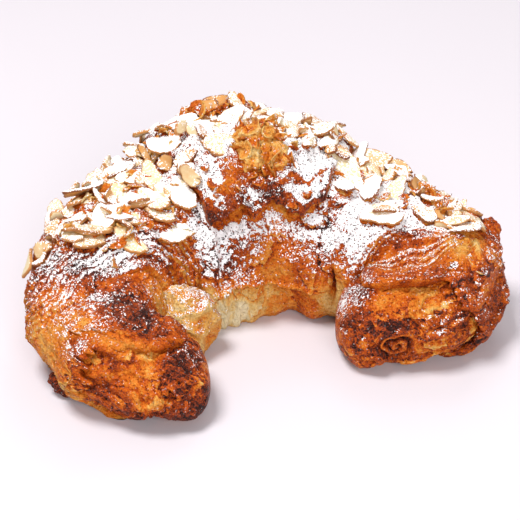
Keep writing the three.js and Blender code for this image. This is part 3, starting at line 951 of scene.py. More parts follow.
@dataclass
class Wrap:
    """One wrap of dough: a band round the spine, closed at both ends."""

    name: str
    start: Edge
    finish: Edge
    size: Triple
    brown: float
    sugar: SugarFall
    columns: int
    rows: int
    fine: Range
    shelf: Shelf | None = None
    patches: tuple[Patch, ...] = ()
    scaling: Scaling | None = None
    scales: tuple[Scale | RolledEnd | Lens, ...] = ()
    dents: float = 1.0
    bubbles: float = 0.55
    grain: float = 0.28
    crackle_tone: float = 0.09
    blotches: float = 1.0
    floor: float = 0.0
    base_brown: float = 0.74
    base_columns: int = 22
    hidden_rows: int = 12
    base_from: float = 228.0
    base_to: float = 312.0
    base_blend: float = 7.0

    DENT_SIZE = 17.0
    BUBBLE_SIZE = 6.0
    CRACKLE = (2.8, 3)
    BLOTCH, BLOTCH_SIZE = 0.15, 15.0
    SPECKLE, SPECKLE_FORM = 0.11, (5.0, 2)
    HIGH_TONE = 0.08
    LIP_SHIFT = 71.0
    SHELF_DUST = -0.9
    LEAST_STRETCH = 0.15
    LEAST_RADIUS = 0.3

    def radius(self, roll: Roll, share: Array, angle: Array) -> Array:
        """Radius of the plain wrap, before its relief.

        Args:
            roll: The whole roll.
            share: Share of the spine.
            angle: Angle round the roll.

        Returns:
            The distance from the spine.
        """
        first = self.start.share(angle, roll.spine.length)
        last = self.finish.share(angle, roll.spine.length)
        along = np.clip((share - first) / (last - first), 0.0, 1.0)
        start, finish, crown = self.size
        size = mix(start, finish, along) + crown * 4.0 * along * (1.0 - along)
        radius = roll.section.radius(share, angle) * size + roll.section.unevenness(share, angle)
        if self.shelf:
            radius = radius - self.shelf.depth(share, angle)
        return roll.section.within_bend(radius, roll.spine.bend(share), angle)

    def covers(self, roll: Roll, share: Array, angle: Array) -> Array:
        """Whether the wrap lies over places of the spine."""
        length = roll.spine.length
        return (share >= self.start.share(angle, length)) & (share <= self.finish.share(angle, length))

    def angles(self) -> Array:
        """Columns round the wrap: close together where they show, wide apart under the base."""
        shown = np.linspace(self.base_to - FULL_TURN, self.base_from, self.columns, endpoint=False)
        under = np.linspace(self.base_from, self.base_to, self.base_columns, endpoint=False)
        return np.concatenate([shown, under])

    def inner_rows(self) -> Array:
        """Rows between the ends: close together where they show, wide apart where they are tucked in.

        Returns:
            Shares of the way from one end to the other.
        """
        begin, end = self.fine
        parts = [np.linspace(begin, end, self.rows)]
        if begin > 0:
            parts.insert(0, np.linspace(0.0, begin, self.hidden_rows, endpoint=False))
        if end < 1:
            parts.append(np.linspace(end, 1.0, self.hidden_rows + 1)[1:])
        return np.concatenate(parts)[1:-1]

    def relief(self, roll: Roll, share: Array, angle: Array, radius: Array) -> Relief:
        """Uneven surface of the wrap and its bake.

        Args:
            roll: The whole roll.
            share: Share of the spine.
            angle: Angle round the roll.
            radius: Radius of the plain wrap.

        Returns:
            The height to add to the radius, the bake from 0, pale, to 1, black, with painted shade in
            corners, and the hold of sugar.
        """
        points = roll.place(share, angle, radius)
        length = roll.spine.length
        ground = Ground(share, angle, radius, points, length)
        stretch = 1.0 + radius * np.cos(np.radians(angle)) / roll.spine.bend(share)
        stretch = np.maximum(stretch, self.LEAST_STRETCH)
        height = DOUGH.mixed(points, ((self.DENT_SIZE, self.dents), (self.BUBBLE_SIZE, self.bubbles)))
        crackle = DOUGH.ridged(points, *self.CRACKLE)
        height = height + self.grain * crackle
        blotches = self.BLOTCH * BAKE.at(points, self.BLOTCH_SIZE)
        blotches = blotches + self.SPECKLE * BAKE.layered(points, *self.SPECKLE_FORM)
        brown = self.brown + self.blotches * blotches
        brown = brown + self.HIGH_TONE * height - self.crackle_tone * crackle
        relief = Relief(height, brown, np.ones(share.shape))
        for edge, run in (
            (self.start, share - self.start.share(angle, length)),
            (self.finish, self.finish.share(angle, length) - share),
        ):
            if edge.end is EdgeEnd.LIP:
                off = edge.distance(run * length * stretch, angle, radius, length * stretch)
                steps = edge.leaves.relief(off, points, self.LIP_SHIFT * edge.inner)
                relief.step(*steps, edge.leaves.dust)
        if self.shelf:
            relief.step(*self.shelf.crease(ground), self.SHELF_DUST)
        for group in (self.scaling.scales() if self.scaling else (), self.scales):
            for scale in group:
                scale.add(relief, ground)
            relief.settle()
        for patch in self.patches:
            patch.add(relief, ground, self.brown)
        turned = np.mod(angle, FULL_TURN)
        under = ramp((turned - self.base_from) / self.base_blend)
        under = under * ramp((self.base_to - turned) / self.base_blend)
        relief.brown = np.clip(mix(relief.brown, self.base_brown, under), 0.0, 1.0)
        return relief

    def build(self, roll: Roll) -> Piece:
        """Makes the wrap's mesh.

        Args:
            roll: The whole roll.

        Returns:
            The piece, not yet dressed.
        """
        angles = self.angles()
        length = roll.spine.length
        first = self.start.share(angles, length)
        last = self.finish.share(angles, length)
        head_run, head_drop, head_kept = self.start.rows()
        tail_run, tail_drop, tail_kept = (part[::-1] for part in self.finish.rows())
        head = first + head_run[:, None] / length
        tail = last - tail_run[:, None] / length
        inner = mix(head[-1], tail[0], self.inner_rows()[:, None])
        share = np.concatenate([head, inner, tail])
        drop = np.concatenate([head_drop, np.zeros(len(inner)), tail_drop])[:, None]
        kept = np.concatenate([head_kept, np.ones(len(inner)), tail_kept])[:, None]
        angle = np.broadcast_to(angles, share.shape)
        plain = self.radius(roll, share, angle)
        relief = self.relief(roll, share, angle, plain * kept)
        radius = np.maximum((plain + relief.height) * kept - drop, self.LEAST_RADIUS)
        points = roll.place(share, angle, radius)
        points[..., 2] = np.maximum(points[..., 2], self.floor)
        return self.mesh(points, relief)

    def mesh(self, points: Array, relief: Relief) -> Piece:
        """Joins rows and columns into faces, with a fan at each end.

        Args:
            points: Place of each vertex, by row and column.
            relief: Bake and hold of sugar of each vertex.

        Returns:
            The piece, with its bake and its hold of sugar as vertex attributes.
        """
        quads, fans = tube_faces(*points.shape[:2], flipped=True)
        poles = np.array([points[row].mean(axis=0) for row in (0, -1)])
        poles[:, 2] = np.maximum(poles[:, 2], self.floor)
        vertices = np.concatenate([points.reshape(-1, 3), poles])
        values = {}
        for key, value in (("brown", relief.brown), ("hold", relief.hold * self.sugar.level)):
            values[key] = np.concatenate([value.ravel(), [value[0].mean(), value[-1].mean()]])
        return mesh_object(self.name, vertices, quads, fans, values)


@dataclass(frozen=True)
class Folds:
    """Sharp folds of a size and a rise above a level."""

    rise: float
    size: float
    octaves: int
    level: float = 0.0

    def at(self, points: Array) -> Array:
        """Height of the folds at points."""
        return self.rise * (DOUGH.ridged(points, self.size, self.octaves) - self.level)


@dataclass
class Flap:
    """Torn flap on top of the middle: rooted in the roll at the back, lifted off it along its torn front."""

    name: str = "torn_flap"
    start: float = 0.405
    finish: float = 0.668
    back_angle: float = 15.0
    rag_angle: float = 137.0
    thickness: float = 4.2
    side_rise: float = 3.0
    side_run: float = 4.0
    root_depth: float = 3.0
    lip_gap: float = 1.8
    rows: int = 150
    columns: int = 150
    brown: float = 0.55
    lip_line: tuple[Range, ...] = (
        (0.405, 147), (0.51, 143), (0.548, 150), (0.588, 139), (0.643, 141), (0.668, 127),
    )
    lifts: tuple[Triple, ...] = ((0.495, 2.6, 0.03), (0.605, 2.4, 0.025))
    lip: float = 2.6
    tan: float = 0.42
    dark_run: float = 2.2
    sugar: SugarFall = SugarFall(1.05, 0.25, 0.55, 0.6, 9.0)
    patches: tuple[Patch, ...] = (
        Patch(0.428, 126, 9, 10, sugar=2.8),
        Patch(0.485, 130, 9, 8, brown=0.54, sugar=0.25),
        Patch(0.535, 125, 8, 7, brown=0.6, sugar=0.45),
        Patch(0.56, 137, 5, 5, sugar=1.6),
        Patch(0.595, 124, 7, 8, brown=0.6, sugar=0.3),
        Patch(0.64, 112, 9, 16, sugar=3.2),
    )

    CROWDING = 0.8
    RAGGED = ((9.0, 2.0), (3.4, 1.8), (1.5, 1.0))
    NEAR_LIP = (0.45, 0.5)
    THINNING = (0.55, 0.4)
    TORN_FRONT = (0.91, 0.06)
    ROOT_RUN = 0.2
    FOLDS = (Folds(1.4, 15.0, 1, 0.5), Folds(0.8, 6.0, 2, 0.7), Folds(0.3, 2.4, 1))
    ROUND_RUN = 0.03
    WAVE, WAVE_SHIFT, WAVE_SIZE = 0.9, 5.0, 11.0
    ROLLED_DOWN = 0.45
    UNDER_WAVE, UNDER_SIZE = 0.25, 4.0
    THINNEST = 0.2
    BLOTCH, BLOTCH_SIZE = 0.12, 12.0
    SPECKLE, SPECKLE_FORM = 0.1, (4.0, 2)
    HIGH_TONE = 0.05
    FRONT_TONE, FRONT_BARE = 0.2, 0.6
    SIDE_TONE, SIDE_BARE = 0.22, 0.9
    TAN_WAVE = 0.06

    def front(self, share: Array) -> Array:
        """Angle of the torn front lip, straight between its corners."""
        return np.interp(share, *zip(*self.lip_line))

    def radius(self, roll: Roll, share: Array, angle: Array) -> Array:
        """Radius of the plain upper face.

        Args:
            roll: The whole roll.
            share: Share of the spine.
            angle: Angle round the roll.

        Returns:
            The distance from the spine.
        """
        across = np.clip((angle - self.back_angle) / (self.front(share) - self.back_angle), 0.0, 1.0)
        inside = np.minimum(share - self.start, self.finish - share) * roll.spine.length
        rise = mix(self.side_rise, self.thickness, ramp(inside / self.side_run))
        lift = mix(-self.root_depth, self.lip_gap, ramp(across))
        return roll.wraps[0].radius(roll, share, angle) + lift + rise

    def covers(self, share: Array, angle: Array) -> Array:
        """Whether the flap lies over places of the roll."""
        along = (share > self.start) & (share < self.finish)
        return along & (angle > self.back_angle) & (angle < self.front(share))

    def faces(self) -> Array:
        """Faces of the upper side, the under side and the wall between them.

        Returns:
            Four corners for each.
        """
        count = self.rows * self.columns
        index = np.arange(count).reshape(self.rows, self.columns)
        corners = (index[:-1, :-1], index[:-1, 1:], index[1:, 1:], index[1:, :-1])
        face = np.stack(corners, axis=-1).reshape(-1, 4)
        edge = np.concatenate([index[0], index[1:, -1], index[-1, -2::-1], index[-2:0:-1, 0]])
        after = np.roll(edge, -1)
        wall = np.stack([after, edge, edge + count, after + count], axis=-1)
        return np.concatenate([face, face[:, ::-1] + count, wall])

    def bake(self, ground: Ground, across: Array, height: Array) -> dict[str, Array]:
        """Bake and hold of sugar of the upper and the under side.

        Args:
            ground: Places on the plain upper side.
            across: Share of the way from the root to the lip, by column.
            height: Height of the folds.

        Returns:
            The vertex attributes by name.
        """
        points = ground.points
        bake = self.brown + self.BLOTCH * BAKE.at(points, self.BLOTCH_SIZE)
        bake = bake + self.SPECKLE * BAKE.layered(points, *self.SPECKLE_FORM) - self.HIGH_TONE * height
        torn_front = onset(across, self.TORN_FRONT)[None, :]
        torn_side = np.exp(-(ground.share - self.start) * ground.length / self.dark_run)
        bake = bake + self.FRONT_TONE * torn_front + self.SIDE_TONE * torn_side
        bare = (1.0 - self.SIDE_BARE * torn_side, 1.0 - self.FRONT_BARE * torn_front)
        relief = Relief(np.zeros(bake.shape), bake, self.sugar.level * bare[0] * bare[1])
        for patch in self.patches:
            patch.add(relief, ground, self.brown)
        tan = self.tan + self.TAN_WAVE * BAKE.at(points, self.UNDER_SIZE)
        return {
            "brown": np.clip(np.concatenate([relief.brown.ravel(), tan.ravel()]), 0.0, 1.0),
            "hold": np.concatenate([relief.hold.ravel(), np.zeros(tan.size)]),
        }

    def build(self, roll: Roll) -> Piece:
        """Makes the flap's mesh.

        Args:
            roll: The whole roll.

        Returns:
            The piece, not yet dressed.
        """
        across = np.linspace(0.0, 1.0, self.columns) ** self.CROWDING
        line = np.linspace(0.0, 1.0, self.rows)
        share = np.broadcast_to(mix(self.start, self.finish, line)[:, None], (self.rows, self.columns))
        lengthwise = np.full(share.shape, self.rag_angle)
        rim = roll.place(share, lengthwise, roll.wraps[0].radius(roll, share, lengthwise))
        front = self.front(share) + TEAR.mixed(rim, self.RAGGED)
        angle = mix(self.back_angle, front, across)
        plain = self.radius(roll, share, angle)
        points = roll.place(share, angle, plain)
        folds, creases, grain = (form.at(points) for form in self.FOLDS)
        height = folds * ramp(across / self.ROOT_RUN) + creases + grain
        lifts = sum(reach * np.exp(-(((share - at) / spread) ** 2)) for at, reach, spread in self.lifts)
        rounded = np.sqrt(np.clip((1.0 - across) / self.ROUND_RUN, 0.0, 1.0))[None, :]
        thick = mix(self.thickness, self.lip, onset(across, self.THINNING))[None, :]
        wave = self.WAVE * DOUGH.at(points + self.WAVE_SHIFT, self.WAVE_SIZE) + lifts
        upper = plain + height + onset(across, self.NEAR_LIP)[None, :] * wave
        upper = upper - self.ROLLED_DOWN * thick * (1.0 - rounded)
        uneven = 1.0 + self.UNDER_WAVE * DOUGH.at(points, self.UNDER_SIZE)
        under = upper - thick * uneven * mix(self.THINNEST, 1.0, rounded)
        sides = [roll.place(share, angle, radius).reshape(-1, 3) for radius in (upper, under)]
        values = self.bake(Ground(share, angle, plain, points, roll.spine.length), across, height)
        return mesh_object(self.name, np.concatenate(sides), self.faces(), np.zeros((0, 3), int), values)


@dataclass(frozen=True)
class Lump:
    """A rounded lump of dough or baked filling."""

    name: str
    at: Triple
    half: Triple
    turn: float
    brown: Range
    sugar: SugarFall
    slot: Slot = Slot.CRUST
    crumple: float = 0.0
    crumple_size: float = 5.0
    ridge_tone: float = 0.12
    sides: int = 150
    rings: int = 100
    uneven: float = 0.07
    waves: Triple = (4.0, 5.0, 3.0)

    CRUMPLE_OCTAVES = 3
    BULGE, BULGE_SIZE = 0.5, 7.0
    BUMP, BUMP_FORM = 0.2, (2.6, 2)
    BLOTCH, BLOTCH_SIZE = 0.1, 8.0
    SPECKLE, SPECKLE_FORM = 0.08, (3.0, 2)

    def spin(self) -> Array:
        """Matrix of the lump's turn about the vertical."""
        along, across = math.cos(math.radians(self.turn)), math.sin(math.radians(self.turn))
        return np.array([[along, -across, 0], [across, along, 0], [0, 0, 1]])

    def surface(self, way: Array) -> tuple[Array, Array]:
        """Point of the plain lump in a direction from its middle, and the direction away from its surface."""
        place = np.array(self.at) + self.spin() @ (way * np.array(self.half))
        return place, self.spin() @ unit(way / np.array(self.half))

    def build(self) -> Piece:
        """Makes the lump's mesh.

        Returns:
            The piece, not yet dressed.
        """
        turn = np.linspace(0.0, 2.0 * math.pi, self.sides, endpoint=False)
        fall = np.linspace(0.0, math.pi, self.rings + 2)[1:-1, None]
        level = np.broadcast_to(np.cos(fall), (self.rings, self.sides))
        ball = np.stack([np.sin(fall) * np.cos(turn), np.sin(fall) * np.sin(turn), level], axis=-1)
        ball = np.concatenate([ball.reshape(-1, 3), [[0.0, 0.0, 1.0], [0.0, 0.0, -1.0]]])
        wave_x, wave_y, wave_z = self.waves
        swell = np.sin(wave_x * ball[:, 0] + self.turn) + np.sin(wave_y * ball[:, 1] + wave_z * ball[:, 2])
        points = ball * (1.0 + self.uneven * swell)[:, None] * np.array(self.half)
        spun = self.spin()
        points = points @ spun.T + np.array(self.at)
        bulge = self.BULGE * DOUGH.at(points, self.BULGE_SIZE)
        bulge = bulge + self.BUMP * DOUGH.layered(points, *self.BUMP_FORM)
        folds = Folds(self.crumple, self.crumple_size, self.CRUMPLE_OCTAVES).at(points)
        points = points + unit(ball / np.array(self.half)) @ spun.T * (bulge + folds)[:, None]
        points[:, 2] = np.maximum(points[:, 2], 0.0)
        low, high = self.brown
        tone = mix(low, high, ramp((points[:, 2] - self.at[2]) / self.half[2] * 0.5 + 0.5))
        tone = tone + self.BLOTCH * BAKE.at(points, self.BLOTCH_SIZE)
        tone = tone + self.SPECKLE * BAKE.layered(points, *self.SPECKLE_FORM)
        tone = tone + self.ridge_tone * (folds + bulge)
        values = {"brown": np.clip(tone, 0.0, 1.0), "hold": np.full(len(points), self.sugar.level)}
        return mesh_object(self.name, points, *tube_faces(self.rings, self.sides, flipped=False), values)


@dataclass
class Roll:
    """The whole roll: its spine, its section and its wraps."""

    wraps: list[Wrap]
    flap: Flap
    spine: Spine = field(default_factory=Spine)
    section: Section = Section()
    slope_share: float = 0.012
    slope_angle: float = 5.0

    def place(self, share: Array, angle: Array, radius: Array) -> Array:
        """Points at a radius from the spine.

        Args:
            share: Share of the spine.
            angle: Angle round the roll.
            radius: Distance from the spine.

        Returns:
            Points, with x, y and z on the last axis.
        """
        swing = np.radians(angle)
        inside = np.clip(share, 0.0, 1.0)
        outward = self.spine.outward(inside)
        level = self.spine.place(inside) + outward * (radius * np.cos(swing))[..., None]
        beyond = (share - inside) * self.spine.length
        level = level + np.stack([outward[..., 1], -outward[..., 0]], axis=-1) * beyond[..., None]
        upright = self.section.height(share) * self.section.centre_share + radius * np.sin(swing)
        return np.concatenate([level, upright[..., None]], axis=-1)

    def crust_radius(self, share: Array, angle: Array) -> Array:
        """Radius of the outermost surface."""
        reaches = [np.where(self.flap.covers(share, angle), self.flap.radius(self, share, angle), 0.0)]
        for wrap in self.wraps:
            reaches.append(np.where(wrap.covers(self, share, angle), wrap.radius(self, share, angle), 0.0))
        return np.max(reaches, axis=0)

    def crust_place(self, share: Array, angle: Array) -> Array:
        """Point on the outermost surface."""
        return self.place(share, angle, self.crust_radius(share, angle))

    def slope(self, share: Array, angle: Array, along: float, around: float) -> Array:
        """Way across the outermost surface between the places a step before and after one."""
        before = self.crust_place(share - along, angle - around)
        return self.crust_place(share + along, angle + around) - before

    def crust_normal(self, share: Array, angle: Array) -> Array:
        """Direction away from the outermost surface."""
        around = self.slope(share, angle, 0.0, self.slope_angle)
        return unit(np.cross(around, self.slope(share, angle, self.slope_share, 0.0)))


class Nodes:
    """Nodes of one tree."""

    def __init__(self, tree: bpy.types.NodeTree) -> None:
        """Takes the tree that the nodes are added to."""
        self.tree = tree

    def node(self, kind: str, settings: dict[str, Any], sockets: dict[str | int, Any]) -> bpy.types.Node:
        """Adds a node.

        Args:
            kind: Type of the node.
            settings: Its settings, with a ramp's stops under "stops".
            sockets: Values or links of its inputs, by name or number.

        Returns:
            The node.
        """
        node = self.tree.nodes.new(kind)
        for key, value in settings.items():
            if key == "stops":
                elements = node.color_ramp.elements
                while len(elements) < len(value):
                    elements.new(1.0)
                for element, (position, colour) in zip(elements, value):
                    element.position = position
                    element.color = colour
            else:
                setattr(node, key, value)
        for key, value in sockets.items():
            source = value.socket if isinstance(value, Field) else value
            if isinstance(source, Socket):
                self.tree.links.new(source, node.inputs[key])
            else:
                node.inputs[key].default_value = source
        return node


class Field:
    """A value in a shader, with arithmetic that adds Math nodes."""

    def __init__(self, shade: Shade, socket: Socket) -> None:
        """Wraps a value socket of a shader."""
        self.shade = shade
        self.socket = socket

    def __add__(self, other: Field | float) -> Field:
        """Sum."""
        return self.shade.math("ADD", self, other)

    def __sub__(self, other: Field | float) -> Field:
        """Difference."""
        return self.shade.math("SUBTRACT", self, other)

    def __rsub__(self, other: float) -> Field:
        """Difference from a number."""
        return self.shade.math("SUBTRACT", other, self)

    def __mul__(self, other: Field | float) -> Field:
        """Product."""
        return self.shade.math("MULTIPLY", self, other)

    __radd__ = __add__
    __rmul__ = __mul__

    def most(self, other: Field | float) -> Field:
        """The larger value."""
        return self.shade.math("MAXIMUM", self, other)

    def least(self, other: Field | float) -> Field:
        """The smaller value."""
        return self.shade.math("MINIMUM", self, other)

    def step(self, low: float, high: float) -> Field:
        """Smooth step from 0 to 1 between two values."""
        settings = {"interpolation_type": "SMOOTHSTEP"}
        sockets = {"Value": self, "From Min": low, "From Max": high}
        return Field(self.shade, self.shade.node("ShaderNodeMapRange", settings, sockets).outputs[0])


class Shade(Nodes):
    """Nodes of one material."""

    def __init__(self, name: str) -> None:
        """Makes a material with an empty node tree.

        Args:
            name: Name of the material.
        """
        self.material = bpy.data.materials.new(name)
        self.material.use_nodes = True
        super().__init__(self.material.node_tree)
        self.tree.nodes.clear()
        self.place = self.node("ShaderNodeTexCoord", {}, {}).outputs["Object"]

    def math(self, operation: str, first: Field | float, second: Field | float) -> Field:
        """Arithmetic on values."""
        node = self.node("ShaderNodeMath", {"operation": operation}, {0: first, 1: second})
        return Field(self, node.outputs[0])

    def attribute(self, name: str) -> Field:
        """A vertex attribute of the piece."""
        return Field(self, self.node("ShaderNodeAttribute", {"attribute_name": name}, {}).outputs["Fac"])

    def noise(self, size: float, detail: float = 2.0, roughness: float = 0.5) -> Field:
        """Noise from 0 to 1 with swells of a size in millimetres."""
        sockets = {"Vector": self.place, "Scale": 1.0 / (size * MM), "Detail": detail, "Roughness": roughness}
        return Field(self, self.node("ShaderNodeTexNoise", {}, sockets).outputs[0])

    def sway(self, size: float, detail: float, roughness: float) -> Field:
        """The same noise about 0."""
        return self.noise(size, detail, roughness) - 0.5

    def cells(self, size: float) -> Field:
        """A random value for each small cell of a size in millimetres."""
        sockets = {"Vector": self.place, "Scale": 1.0 / (size * MM), "Randomness": 1.0}
        voronoi = self.node("ShaderNodeTexVoronoi", {"feature": "F1"}, sockets)
        split = self.node("ShaderNodeSeparateColor", {}, {"Color": voronoi.outputs["Color"]})
        return Field(self, split.outputs[0])

    def blend(self, share: Field, first: Any, second: Any) -> Socket:
        """Mix of two colours."""
        return self.node("ShaderNodeMix", {"data_type": "RGBA"}, {0: share, 6: first, 7: second}).outputs[2]

    def ramp(self, value: Field, stops: Sequence[tuple[float, tuple]]) -> Socket:
        """Colour of a value."""
        return self.node("ShaderNodeValToRGB", {"stops": stops}, {"Fac": value}).outputs["Color"]

    def surface(
        self, colour: Any, rough: Any, specular: float, height: Field | None = None, bump: float = 0.4
    ) -> None:
        """Ends the tree in a Principled shader.

        Args:
            colour: Base colour.
            rough: Roughness.
            specular: Strength of the reflections.
            height: Height in millimetres for a bump.
            bump: Strength of the bump.
        """
        sockets = {"Base Color": colour, "Roughness": rough, "Specular IOR Level": specular}
        if height is not None:
            heights = {"Height": height, "Distance": MM, "Strength": bump}
            sockets["Normal"] = self.node("ShaderNodeBump", {}, heights).outputs[0]
        shader = self.node("ShaderNodeBsdfPrincipled", {}, sockets)
        self.node("ShaderNodeOutputMaterial", {}, {"Surface": shader.outputs[0]})


BAKE_COLOURS = (
    (0.0, linear(224, 208, 168)),
    (0.15, linear(223, 188, 120)),
    (0.3, linear(216, 153, 70)),
    (0.45, linear(208, 114, 29)),
    (0.6, linear(184, 78, 12)),
    (0.75, linear(137, 53, 19)),
    (0.88, linear(92, 38, 24)),
    (1.0, linear(44, 20, 17)),
)


@dataclass(frozen=True)
class Dusting:
    """Icing sugar dusted over a finish: larger and smaller grains, with bare gaps where it is thin."""

    fine: float
    bare: float
    coarse: float = 0.46
    colour: Tint = linear(253, 250, 250)
    patches: Triple = (4.0, 3.0, 0.65)
    patchiness: float = 2.4
    heavy: float = 0.6
    clump: float = 0.85
    speck: float = 0.4
    closing: float = 0.19
    clump_edge: Range = (-0.03, 0.06)
    speck_edge: Range = (-0.03, 0.05)
    gap_edge: Range = (0.0, 0.04)

    def mask(self, shade: Shade) -> Field:
        """Mask of the grains.

        Args:
            shade: Nodes of the material.

        Returns:
            1 where a grain lies and 0 beside it.
        """
        patchy = shade.sway(*self.patches) * self.patchiness + 1
        settled = shade.attribute("sugar")
        amount = settled * patchy + (settled - self.heavy).most(0.0)
        grains = shade.cells(self.fine)
        clumps = (amount * self.clump - shade.cells(self.coarse)).step(*self.clump_edge)
        specks = (amount * self.speck - grains).step(*self.speck_edge)
        gaps = (grains - self.bare - amount.least(1.0) * self.closing).step(*self.gap_edge)
        return clumps.most(specks) * (1 - gaps)


@dataclass(frozen=True)
class CrustFinish:
    """Baked crust from pale to nearly black, dusted with icing sugar, with painted shade between the grains
    where the sugar lies thick.
    """

    name: str = "baked_crust"
    roughness: float = 0.4
    sugar_roughness: float = 0.95
    specular: float = 0.13
    dusting: Dusting = Dusting(0.38, 0.68)
    fleck: float = 1.05
    flecks: Triple = (0.5, 3.0, 0.7)
    mottle: float = 0.65
    mottles: Triple = (1.9, 4.0, 0.65)
    pore: float = 0.24
    pores: Triple = (0.85, 2.0, 0.6)
    pores_from: float = 0.58
    pore_edge: float = 0.09
    uneven: float = 1.4
    uneven_from: float = 0.1
    uneven_least: float = 0.28
    # painted shade: how much darker the crust shows between sugar grains where the sugar lies thick
    sugar_gap_shade: float = 0.29
    fine_bump: Range = (0.6, 2.0)
    fine_rise: float = 0.7
    coarse_bump: Triple = (1.8, 3.0, 0.6)
    coarse_rise: float = 1.1
    grain_rise: float = 0.24
    pore_depth: float = 1.5
    bump: float = 1.0

    def material(self) -> Material:
        """Makes the material.

        Returns:
            The material, with its nodes.
        """
        shade = Shade(self.name)
        brown = shade.attribute("brown")
        flecks = shade.sway(*self.flecks) * self.fleck
        mottle = shade.sway(*self.mottles) * self.mottle
        pores = (shade.noise(*self.pores) - self.pores_from).step(0.0, self.pore_edge) * self.pore
        uneven = (brown * self.uneven - self.uneven_from).most(self.uneven_least)
        # painted shade: the crust between the sugar grains is darkened where the sugar lies thick
        tone = brown + (flecks + mottle + pores) * uneven + shade.attribute("sugar") * self.sugar_gap_shade
        white = self.dusting.mask(shade)
        colour = shade.blend(white, shade.ramp(tone, BAKE_COLOURS), self.dusting.colour)
        rough = white * (self.sugar_roughness - self.roughness) + self.roughness
        height = shade.noise(*self.fine_bump) * self.fine_rise
        height = height + shade.noise(*self.coarse_bump) * self.coarse_rise
        height = height + white * self.grain_rise - pores * self.pore_depth
        shade.surface(colour, rough, self.specular, height, self.bump)
        return shade.material


@dataclass(frozen=True)
class AlmondFinish:
    """Pale almond with a toasted rim, dusted with icing sugar."""

    name: str = "flaked_almond"
    face: Tint = linear(220, 202, 160)
    toasted: Tint = linear(197, 138, 70)
    rim: Tint = linear(187, 128, 68)
    dark_rim: Tint = linear(126, 68, 28)
    dusting: Dusting = Dusting(0.34, 0.78)
    spots: Triple = (2.4, 3.0, 0.6)
    face_spots: float = 0.6
    face_toast: Range = (0.25, 1.0)
    rim_spots: float = 0.8
    rim_toast: Range = (0.3, 1.0)
    edge_spots: float = 0.5
    edge: Range = (0.35, 0.8)
    roughness: float = 0.55
    added_roughness: float = 0.35
    specular: float = 0.3
    bump: Range = (1.1, 2.0)
    bump_rise: float = 0.3
    grain_rise: float = 0.2

    def material(self) -> Material:
        """Makes the material.

        Returns:
            The material, with its nodes.
        """
        shade = Shade(self.name)
        tone = shade.attribute("tone")
        spots = shade.sway(*self.spots)
        face = shade.blend((tone + spots * self.face_spots).step(*self.face_toast), self.face, self.toasted)
        rim = shade.blend((tone + spots * self.rim_spots).step(*self.rim_toast), self.rim, self.dark_rim)
        near_rim = (shade.attribute("rim") + spots * self.edge_spots).step(*self.edge)
        white = self.dusting.mask(shade)
        colour = shade.blend(white, shade.blend(near_rim, face, rim), self.dusting.colour)
        height = shade.noise(*self.bump) * self.bump_rise + white * self.grain_rise
        rough = white * self.added_roughness + self.roughness
        shade.surface(colour, rough, self.specular, height)
        return shade.material


@dataclass(frozen=True)
class SugarFinish:
    """Loose icing sugar."""

    name: str = "icing_sugar"
    colour: Tint = linear(254, 252, 252)
    shadow: Tint = linear(240, 234, 236)
    roughness: float = 0.95
    specular: float = 0.2
    shadow_size: float = 0.6
    grain_size: float = 0.3
    grain_rise: float = 0.2

    def material(self) -> Material:
        """Makes the material.

        Returns:
            The material, with its nodes.
        """
        shade = Shade(self.name)
        colour = shade.blend(shade.noise(self.shadow_size), self.shadow, self.colour)
        height = shade.noise(self.grain_size) * self.grain_rise
        shade.surface(colour, self.roughness, self.specular, height)
        return shade.material


@dataclass(frozen=True)
class FloorFinish:
    """Plain pale floor."""

    name: str = "pale_floor"
    colour: Tint = linear(213, 207, 212)
    roughness: float = 0.9
    specular: float = 0.1

    def material(self) -> Material:
        """Makes the material.

        Returns:
            The material, with its nodes.
        """
        shade = Shade(self.name)
        shade.surface(self.colour, self.roughness, self.specular)
        return shade.material


class NodeTree(Nodes):
    """A Geometry Nodes tree with named inputs, run once on an object."""

    def __init__(self, name: str) -> None:
        """Makes an empty tree with a mesh going in and out.

        Args:
            name: Name of the tree.
        """
        super().__init__(bpy.data.node_groups.new(name, "GeometryNodeTree"))
        self.inputs: dict[str, Any] = {}
        for way in ("INPUT", "OUTPUT"):
            self.tree.interface.new_socket("Geometry", in_out=way, socket_type="NodeSocketGeometry")
        self.entry = self.node("NodeGroupInput", {}, {})
        self.exit = self.node("NodeGroupOutput", {}, {})

    def size(self, name: str, kind: str, value: Any) -> Socket:
        """Adds a named input.

        Args:
            name: Name of the input.
            kind: Type of its socket.
            value: Value that the modifier gives it.

        Returns:
            The socket inside the tree.
        """
        socket = self.tree.interface.new_socket(name, in_out="INPUT", socket_type=kind)
        self.inputs[socket.identifier] = value
        return self.entry.outputs[name]

    def attribute(self, name: str, kind: str) -> Socket:
        """A named attribute of the incoming mesh."""
        return self.node("GeometryNodeInputNamedAttribute", {"data_type": kind}, {"Name": name}).outputs[0]

    def finish(self, sockets: dict[str, Any], material: Socket) -> None:
        """Lays instances on points, makes them real and gives them their material.

        Args:
            sockets: Values or links of the node that lays them.
            material: Socket of their material.
        """
        laid = self.node("GeometryNodeInstanceOnPoints", {}, sockets)
        real = self.node("GeometryNodeRealizeInstances", {}, {0: laid.outputs[0]})
        dressed = {"Geometry": real.outputs[0], "Material": material}
        self.tree.links.new(self.node("GeometryNodeSetMaterial", {}, dressed).outputs[0], self.exit.inputs[0])

    def run(self, carrier: Piece, name: str) -> Piece:
        """Runs the tree on a carrier and keeps the result as a plain mesh.

        Args:
            carrier: Object whose mesh goes in; it is removed.
            name: Name of the piece.

        Returns:
            The piece.
        """
        modifier = carrier.modifiers.new(name, "NODES")
        modifier.node_group = self.tree
        for identifier, value in self.inputs.items():
            modifier[identifier] = value
        depsgraph = bpy.context.evaluated_depsgraph_get()
        mesh = bpy.data.meshes.new_from_object(carrier.evaluated_get(depsgraph), depsgraph=depsgraph)
        carrier.modifiers.remove(modifier)
        bpy.data.objects.remove(carrier)
        mesh.name = name
        return new_object(name, mesh)


